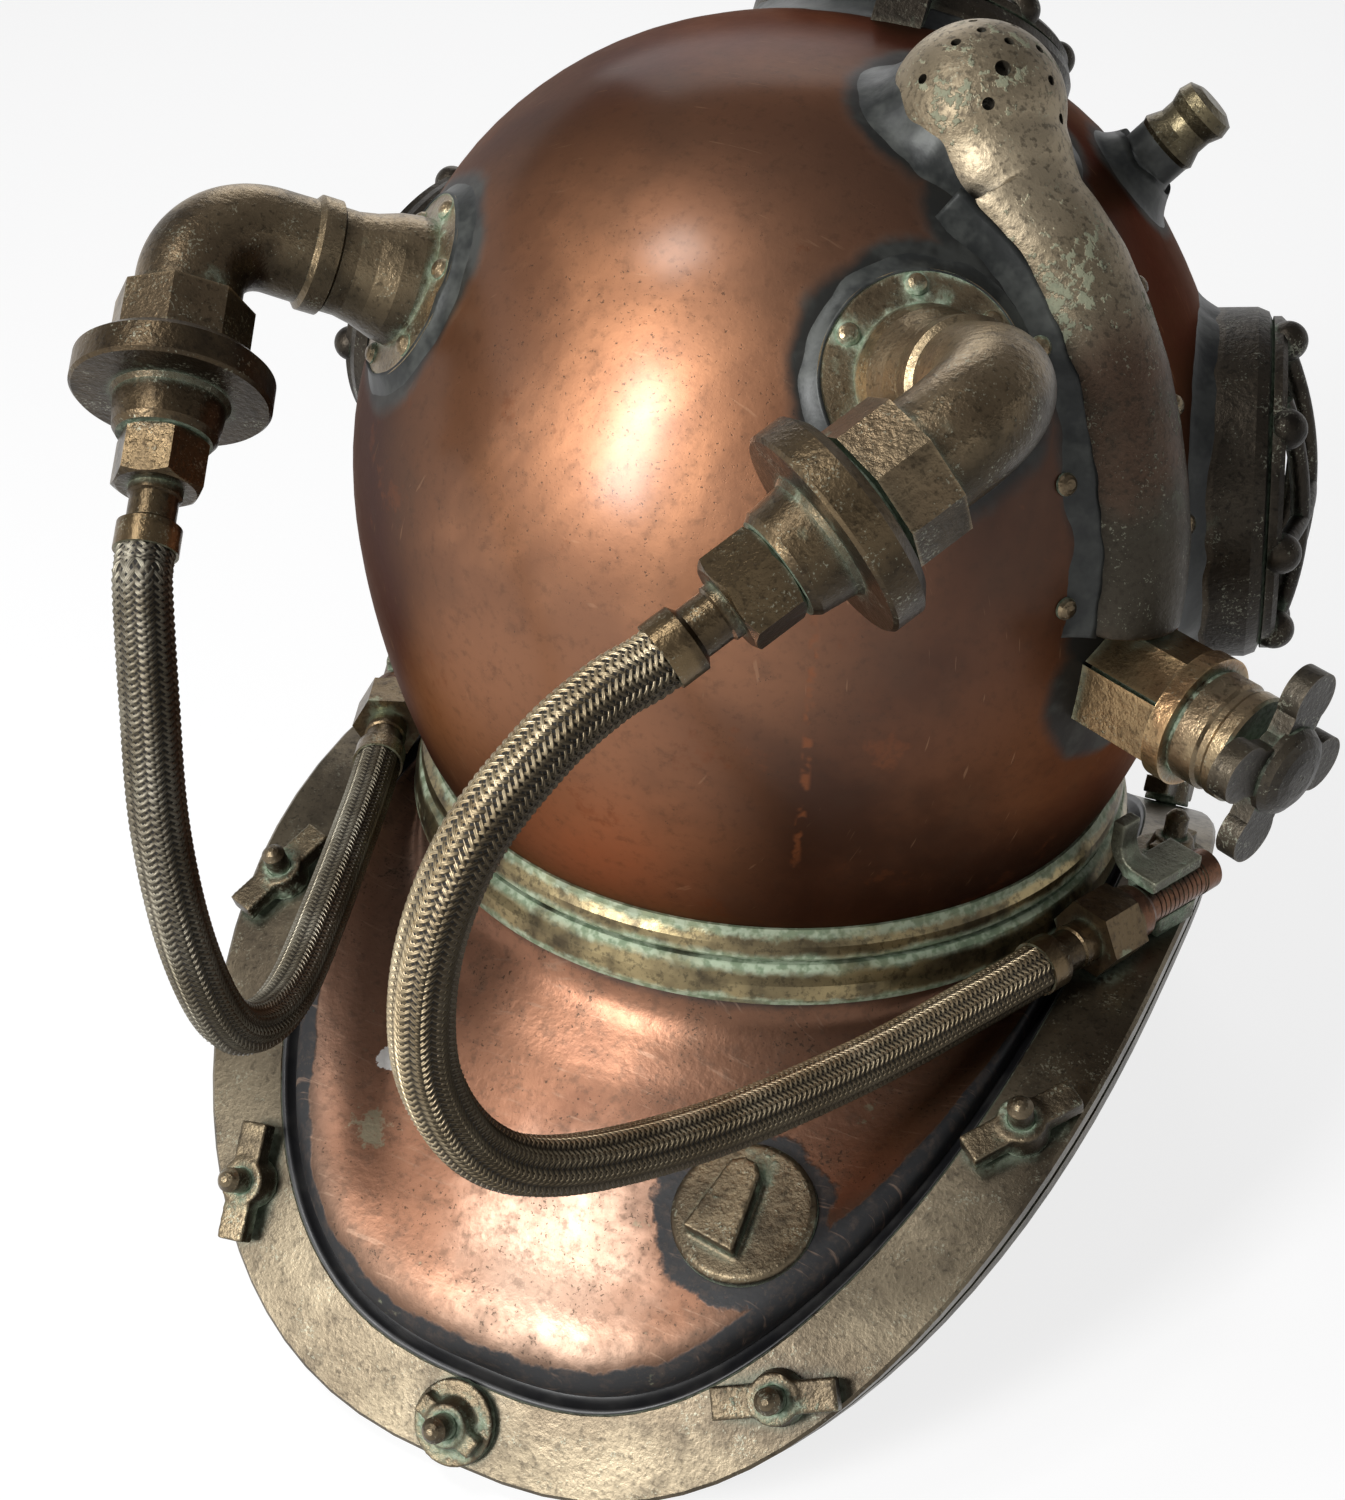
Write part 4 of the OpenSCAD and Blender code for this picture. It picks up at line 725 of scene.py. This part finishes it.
# Outlet channel: a hollow casting, soldered to the bonnet, that leads the spent air up from
# the valve to a ball on its end. It leaves through eleven drilled holes, whose places are
# pixels of the photograph and whose radii are mm.
cast = Finish("channel_cast_old")
cloud, blotch, crumbs = cast.noise(22, 4), cast.noise(70, 5, 0.65), cast.noise(210, 3, 0.7)
# Painted light: the channel is painted lighter towards its top and ball, where the lamps fall on it, and dark below.
high = (cast.z + (cloud - 0.5) * 0.05).step(0.190, 0.240)
grime = 1 - (cast.corners(0.008) + (blotch - 0.5) * 0.4).step(0.45, 0.9)
shade = cast.mix(high, cast.mix(cloud.step(0.4, 0.6), (0.085, 0.052, 0.034), (0.05, 0.042, 0.03)),
                 cast.mix(cloud.step(0.4, 0.62), (0.36, 0.295, 0.20), (0.23, 0.185, 0.12)))
shade = cast.mix(blotch.step(0.52, 0.76) * 0.5, shade, (0.05, 0.042, 0.03))
moss = (crumbs + (cloud - 0.5) * 0.8).step(0.60, 0.68) * cast.z.step(0.15, 0.20)
grit = cast.noise(520, 3, 0.6)
shade = cast.mix(grit.step(0.50, 0.68) * 0.6, shade, (0.035, 0.028, 0.02))
chalk = (cast.noise(1100, 2, 0.7) + (cast.noise(90, 4, 0.65) - 0.5) * 0.9).step(0.66, 0.74)
shade = cast.mix(chalk * 0.4, shade, (0.34, 0.35, 0.26))
shade = cast.mix(moss * 0.55, shade, (0.27, 0.31, 0.21))
# Painted shade with grime: the casting's corners are darkened.
shade = cast.mix(grime * 0.85, shade, (0.022, 0.021, 0.018))
cast = cast.done(shade, blotch * 0.22 + grit * 0.14 + moss * 0.3 + 0.30, 0.78 - moss * 0.6 - grime * 0.3,
                 blotch + moss * 0.5 + crumbs * 0.3 + grit * 0.5, 0.5, 0.0008)
cowl = fused("exhaust_cowl", ["exhaust_channel"], cast, 180)
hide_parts("channel_cover")
ball_at, ball_r = dome_centre + Vector(toward(70, 65)) * 0.158, 0.0262
neck = ((68.4, 45.0, 0.1490, 0.0165), (68.2, 48.5, 0.1495, 0.0172), (67.8, 52.0, 0.1505, 0.0178),
        (67.6, 55.5, 0.1515, 0.0195), (67.8, 59.0, 0.1535, 0.0215), (68.6, 62.0, 0.1550, 0.0232),
        (70.0, 65.0, 0.1500, 0.0255))
made = bmesh.new()
made.from_mesh(cowl.data)
bmesh.ops.create_icosphere(made, subdivisions=5, radius=ball_r, matrix=Matrix.Translation(ball_at))
for az, el, out, size in neck:
    at = Matrix.Translation(dome_centre + Vector(toward(az, el)) * out)
    bmesh.ops.create_icosphere(made, subdivisions=4, radius=size, matrix=at)
made.to_mesh(cowl.data)
made.free()
moulded(cowl, 0.0008, 22)
photo_x, photo_y, photo_r, hole_deep = 985, 95, 88, 0.008
holes = ((924, 81, 1.5), (955, 48, 1.5), (980, 35, 1.4), (1005, 48, 1.5), (1037, 50, 1.5), (997, 78, 2.4),
         (1047, 82, 1.5), (983, 112, 1.8), (1058, 114, 1.5), (975, 19, 1.3), (1016, 23, 1.3))
drill = bmesh.new()
for px, py, size in holes:
    u, v = (px - photo_x) / photo_r, (photo_y - py) / photo_r
    near_by = math.sqrt(max(0.05, 1 - u * u - v * v))
    aim = (across * u + upright * v + back * near_by).normalized()
    turn = aim.to_track_quat("Z", "Y").to_matrix().to_4x4()
    bmesh.ops.create_cone(drill, cap_ends=True, segments=20, radius1=size / 1000, radius2=size / 1000,
                          depth=hole_deep, matrix=Matrix.Translation(ball_at + aim * ball_r) @ turn)
drill_mesh = bpy.data.meshes.new("drill")
drill.to_mesh(drill_mesh)
drill.free()
cutter = bpy.data.objects.new("drill", drill_mesh)
scene.collection.objects.link(cutter)
cut = cowl.modifiers.new("holes", "BOOLEAN")
cut.object, cut.solver = cutter, "EXACT"
bpy.context.view_layer.update()
holed = bpy.data.meshes.new_from_object(cowl.evaluated_get(bpy.context.evaluated_depsgraph_get()))
cowl.modifiers.clear()
holed.name = "exhaust_cowl"
cowl.data = holed
cowl.data.set_sharp_from_angle(angle=math.radians(50))
bpy.data.objects.remove(cutter)

# Elbows and couplings: swan-neck bends of copper tube, soldered to the doubling plates, and
# turned brass coupling flanges at their ends
paint_node("elbow_copper", old_metal("elbow_copper_old", (0.31, 0.235, 0.14), (0.17, 0.122, 0.072),
                                     (0.035, 0.028, 0.018), 0.5, 0.34, 1.1, under=0.86))
paint_node("coupling_brass", old_metal("coupling_brass_old", (0.155, 0.11, 0.06), (0.085, 0.06, 0.034),
                                       (0.025, 0.019, 0.013), 0.45, 0.34, 1.0))

# Unions: turned bronze. A hexagon nut holds each hose to its coupling, ferrules close both
# of its ends, and the union on each shoulder ends in an open thread.
union_x, union_y, union_turn = 131, 68, math.radians(24)


def coat(material, *nodes):
    """Gives a finish to whole CAD nodes."""
    for node in nodes:
        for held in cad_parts[node].material_slots:
            held.material = material


def threaded(name, hex_part, thread):
    """Olive hexagon and collar, red-brown thread from 37 mm along the union."""
    look = Finish(name)
    along = ((abs(look.x) - union_x / 1000) * math.sin(union_turn)
             + (union_y / 1000 - look.y) * math.cos(union_turn))
    blotch = look.noise(90, 4, 0.65)
    grit = look.noise(520, 3, 0.6)
    shade_and_grime = 1 - (look.corners(0.004) + (blotch - 0.5) * 0.5).step(0.45, 0.92)
    shade = look.mix(along.step(0.0368, 0.0376), hex_part, thread)
    shade = look.mix(blotch.step(0.46, 0.70) * 0.7, shade, (0.045, 0.03, 0.02))
    shade = look.mix(grit.step(0.52, 0.70) * 0.5, shade, (0.025, 0.018, 0.012))
    # Painted shade with grime: the corners are darkened.
    shade = look.mix(shade_and_grime * 0.75, shade, (0.02, 0.018, 0.013))
    shade = look.mix((look.noise(60, 5, 0.7) + shade_and_grime * 0.2).step(0.62, 0.70) * 0.5, shade, (0.24, 0.28, 0.19))
    return look.done(shade, blotch * 0.2 + grit * 0.15 + 0.17, 0.85 - shade_and_grime * 0.3, grit * 0.5 + blotch, 0.5, 0.0007)


paint_node("union_bronze", threaded("union_bronze_old", (0.125, 0.088, 0.047), (0.14, 0.064, 0.034)))
coat(old_metal("union_nut_old", (0.15, 0.105, 0.055), (0.085, 0.06, 0.033), (0.025, 0.018, 0.012), 0.25, 0.28),
     "right_union_nut", "left_union_nut", "right_hose_ferrules", "left_hose_ferrules")

# Hoses: rubber tube inside a woven metal braid of thirty-six flat carriers. Each runs
# from the ferrule under its elbow, hangs behind the helmet and comes back over the
# breastplate to the union on its own shoulder.
hose_d = 0.017
braid_pitch = 0.037
rows_per_pitch = 72
wires_each = 5
elbow_az, elbow_el, elbow_turn = (40, -50), (36.5, 32.5), (-59, 50)
elbow_seat, elbow_reach, elbow_lift = 151, 67, 22


def spin(p, axis, degrees):
    return Matrix.Rotation(math.radians(degrees), 3, axis) @ Vector(p)


def on_leg(k, s):
    """A point at s mm along the leg of an elbow, 0 for the right one."""
    p = Vector((0, 0, elbow_seat))
    p += spin(spin((0, s, elbow_reach), "Z", elbow_turn[k]), "X", elbow_lift - elbow_el[k])
    return dome_centre * 1000 + spin(spin(p, "X", elbow_el[k] - 90), "Z", elbow_az[k])


def on_union(sign, s):
    """A point at s mm along a shoulder union, measured from its hose end."""
    return Vector((sign * (union_x + s * math.sin(union_turn)), union_y - s * math.cos(union_turn), -7))


def braid_tree():
    """Flat carriers wound both ways round a line, each over and under the next, on a rubber tube."""
    tree = bpy.data.node_groups.new("braid", "GeometryNodeTree")
    face = tree.interface
    face.new_socket("Line", in_out="INPUT", socket_type="NodeSocketGeometry")
    for name, value in (("Radius", hose_d / 2), ("Carriers", 18), ("Pitch", braid_pitch), ("Width", 0.00195),
                        ("Rise", 0.0003), ("Steps", 900)):
        kind = "NodeSocketInt" if isinstance(value, int) else "NodeSocketFloat"
        face.new_socket(name, in_out="INPUT", socket_type=kind).default_value = value
    face.new_socket("Metal", in_out="INPUT", socket_type="NodeSocketMaterial")
    face.new_socket("Rubber", in_out="INPUT", socket_type="NodeSocketMaterial")
    face.new_socket("Mesh", in_out="OUTPUT", socket_type="NodeSocketGeometry")
    net = Net(tree)
    line = net.node("NodeGroupInput")
    radius, count, pitch, width = (line.pick(name) for name in ("Radius", "Carriers", "Pitch", "Width"))
    rise, steps, metal, rubber = (line.pick(name) for name in ("Rise", "Steps", "Metal", "Rubber"))
    length = net.node("GeometryNodeCurveLength", {}, {0: line})
    strip = net.node("GeometryNodeMeshGrid", {}, {"Size X": 1.0, "Size Y": 1.0, "Vertices X": steps, "Vertices Y": 3})
    seeds = net.node("GeometryNodeMeshLine", {}, {"Count": count * 2, "Offset": (0, 0, 0)})
    number = net.node("GeometryNodeInputIndex")
    seeds = net.node("GeometryNodeStoreNamedAttribute", {"data_type": "FLOAT", "domain": "POINT"},
                     {"Geometry": seeds, "Name": "carrier", "Value": number})
    strips = net.node("GeometryNodeInstanceOnPoints", {}, {"Points": seeds, "Instance": strip})
    strips = net.node("GeometryNodeRealizeInstances", {}, {0: strips})
    carrier = net.node("GeometryNodeInputNamedAttribute", {"data_type": "FLOAT"}, {"Name": "carrier"})
    where = net.node("GeometryNodeInputPosition")
    across = net.node("ShaderNodeSeparateXYZ", {}, {0: where})
    along, beside = across + 0.5, across.pick("Y")
    other = carrier.maths("GREATER_THAN", count - 0.5)
    way = 1 - 2 * other
    index = carrier - other * count
    turned = along * length / pitch * (2 * math.pi)
    crown = 1 - (beside * beside * 4)
    edge = abs(beside).step(0.3, 0.5, False)
    angle = way * turned + index * (2 * math.pi) / count + beside * width * way / radius * 1.15
    wave = (turned * count * 0.5 + way * index * math.pi - 0.25 * math.pi).maths("COSINE")
    height = way * wave * rise * 1.25
    out_by = radius - 0.00045 + height + crown * 0.00018 - edge * 0.0006
    centre = net.node("GeometryNodeSampleCurve", {"mode": "FACTOR", "use_all_curves": True},
                      {"Curves": line, "Factor": along}, "Position")
    tangent, normal = centre.pick("Tangent"), centre.pick("Normal")
    turn = net.node("ShaderNodeVectorRotate", {"rotation_type": "AXIS_ANGLE"},
                    {"Vector": normal, "Center": (0, 0, 0), "Axis": tangent, "Angle": angle})
    offset = net.node("ShaderNodeVectorMath", {"operation": "SCALE"}, {0: turn, "Scale": out_by})
    spot = net.node("ShaderNodeVectorMath", {"operation": "ADD"}, {0: centre, 1: offset})
    for name, value in (("beside", beside), ("lift", way * wave)):
        strips = net.node("GeometryNodeStoreNamedAttribute", {"data_type": "FLOAT", "domain": "POINT"},
                          {"Geometry": strips, "Name": name, "Value": value})
    strips = net.node("GeometryNodeSetPosition", {}, {"Geometry": strips, "Position": spot})
    strips = net.node("GeometryNodeFlipFaces", {}, {0: strips, 1: other})
    strips = net.node("GeometryNodeSetShadeSmooth", {}, {0: strips})
    strips = net.node("GeometryNodeSetMaterial", {}, {"Geometry": strips, "Material": metal})
    ring = net.node("GeometryNodeCurvePrimitiveCircle", {}, {"Resolution": 24, "Radius": radius - 0.0009})
    tube = net.node("GeometryNodeCurveToMesh", {}, {0: line, 1: ring, "Fill Caps": True})
    tube = net.node("GeometryNodeSetMaterial", {}, {"Geometry": tube, "Material": rubber})
    both = net.node("GeometryNodeJoinGeometry")
    tree.links.new(strips.socket, both.socket.node.inputs[0])
    tree.links.new(tube.socket, both.socket.node.inputs[0])
    both = net.node("GeometryNodeRealizeInstances", {}, {0: both})
    net.node("NodeGroupOutput", {}, {0: both})
    return tree


def braid_finish(name, low, high, shadow):
    """Brass wires, with painted shade where they dive under, in the grooves between the wires, and on the side away
    from the window.
    """
    look = Finish(name)
    beside = look.node("ShaderNodeAttribute", {"attribute_name": "beside"}, out="Fac")
    lift = look.node("ShaderNodeAttribute", {"attribute_name": "lift"}, out="Fac")
    wires = (beside * (wires_each * 2 * math.pi)).maths("COSINE") * 0.5 + 0.5
    grime = look.noise(45, 4)
    shade = look.mix(grime.step(0.35, 0.72), low, high)
    # Painted shade where a carrier dives under the one crossing it.
    shade = look.mix(lift.step(-1.0, 0.35) * 0.75 + 0.25, (0.05, 0.04, 0.028), shade)
    # Painted shade in the grooves between the wires of a carrier.
    shade = look.mix(wires * 0.55 + 0.45, (0.10, 0.08, 0.055), shade)
    lit = look.facing((0.60, 0.45, 0.66))
    shade = look.mix((1 - lit.step(0.05, 0.72)) * shadow, shade, (0.035, 0.026, 0.016))
    return look.done(shade, 0.30 + grime * 0.16, 0.80, wires, 0.5, 0.0003)


rubber = Finish("hose_rubber").done((0.02, 0.018, 0.015), 0.8, 0.0)
right_metal = braid_finish("right_hose_braid", (0.52, 0.41, 0.25), (0.88, 0.74, 0.50), 0.90)
left_metal = braid_finish("left_hose_braid", (0.24, 0.21, 0.15), (0.48, 0.45, 0.36), 0.72)
right_route = [[-50, 231, 166], [-42, 248, 157], [-33, 269, 138], [-27, 280, 108], [-26, 280, 72], [-33, 269, 40],
               [-46, 247, 20], [-68, 200, 2], [-94, 145, -7], [-115, 101, -8]]
left_route = [[107, 212, 142], [100, 223, 117], [92, 235, 82], [85, 239, 46], [82, 232, 12], [81, 219, -4],
              [85, 194, -11], [98, 154, -10], [117, 102, -8]]
braid = braid_tree()
ports = {item.name: item.identifier for item in braid.interface.items_tree if item.in_out == "INPUT"}
for k, (side, sign, route, metal) in enumerate((("right", -1, right_route, right_metal),
                                                ("left", 1, left_route, left_metal))):
    line = [on_leg(k, 105), on_leg(k, 115)] + [Vector(p) for p in route] + [on_union(sign, -14), on_union(sign, 0)]
    line = [p / 1000 for p in smooth_route(line, 8)]
    length = sum((q - p).length for p, q in zip(line, line[1:]))
    curve = bpy.data.curves.new(side + "_hose_line", "CURVE")
    curve.dimensions = "3D"
    spline = curve.splines.new("POLY")
    spline.points.add(len(line) - 1)
    for point, p in zip(spline.points, line):
        point.co = (*p, 1)
    guide = bpy.data.objects.new(side + "_hose_line", curve)
    scene.collection.objects.link(guide)
    weave = guide.modifiers.new("braid", "NODES")
    weave.node_group = braid
    weave[ports["Radius"]] = hose_d / 2
    weave[ports["Steps"]] = round(length / braid_pitch * rows_per_pitch)
    weave[ports["Metal"]] = metal
    weave[ports["Rubber"]] = rubber
    woven = bpy.data.meshes.new_from_object(guide.evaluated_get(bpy.context.evaluated_depsgraph_get()))
    woven.name = side + "_braided_hose"
    hose = bpy.data.objects.new(side + "_braided_hose", woven)
    scene.collection.objects.link(hose)
    bpy.data.objects.remove(guide)
    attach(hose, "helmet")
    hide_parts(side + "_hose")

# Exhaust valve: a cast bronze box at the foot of the channel, soldered to the bonnet, with a
# screwed cover, a spindle and a darker handwheel
paint_node("valve_bronze", old_metal("valve_bronze_old", (0.43, 0.34, 0.20), (0.27, 0.205, 0.125), (0.07, 0.05, 0.03),
                                     0.5, 0.32, 1.0, 0.08))
coat(old_metal("valve_wheel_old", (0.085, 0.068, 0.045), (0.045, 0.038, 0.028), (0.02, 0.017, 0.013), 0.3, 0.42,
               metal=0.7), "valve_handwheel")
coat(old_metal("valve_box_old", (0.50, 0.35, 0.18), (0.32, 0.22, 0.115), (0.07, 0.05, 0.03), 0.45, 0.3, 1.0, 0.25,
               0.9, 0.2), "valve_body")

# Lights and window: blackened bronze frames and bent guards soldered into the bonnet, and
# in front a brass frame that screws into its ring. All carry thick clear glass.
paint_node("light_bronze", old_metal("light_bronze_old", (0.062, 0.05, 0.036), (0.032, 0.027, 0.021),
                                     (0.014, 0.012, 0.010), 0.3, 0.42))
paint_node("window_brass", old_metal("window_brass_old", (0.34, 0.26, 0.14), (0.21, 0.16, 0.09),
                                     (0.06, 0.045, 0.03), 0.35))
glass = Finish("window_glass_old")
paint_node("window_glass", glass.done((0.72, 0.80, 0.76), glass.noise(40).step(0.3, 0.9) * 0.08 + 0.02, 0.0,
                                      **{"Transmission Weight": 1.0, "IOR": 1.5}))

# Caps and spitcock: turned brass, screwed into soldered sockets and left to tarnish.
paint_node("cap_brass", old_metal("cap_brass_old", (0.20, 0.165, 0.095), (0.11, 0.09, 0.055), (0.04, 0.033, 0.022),
                                  0.35))
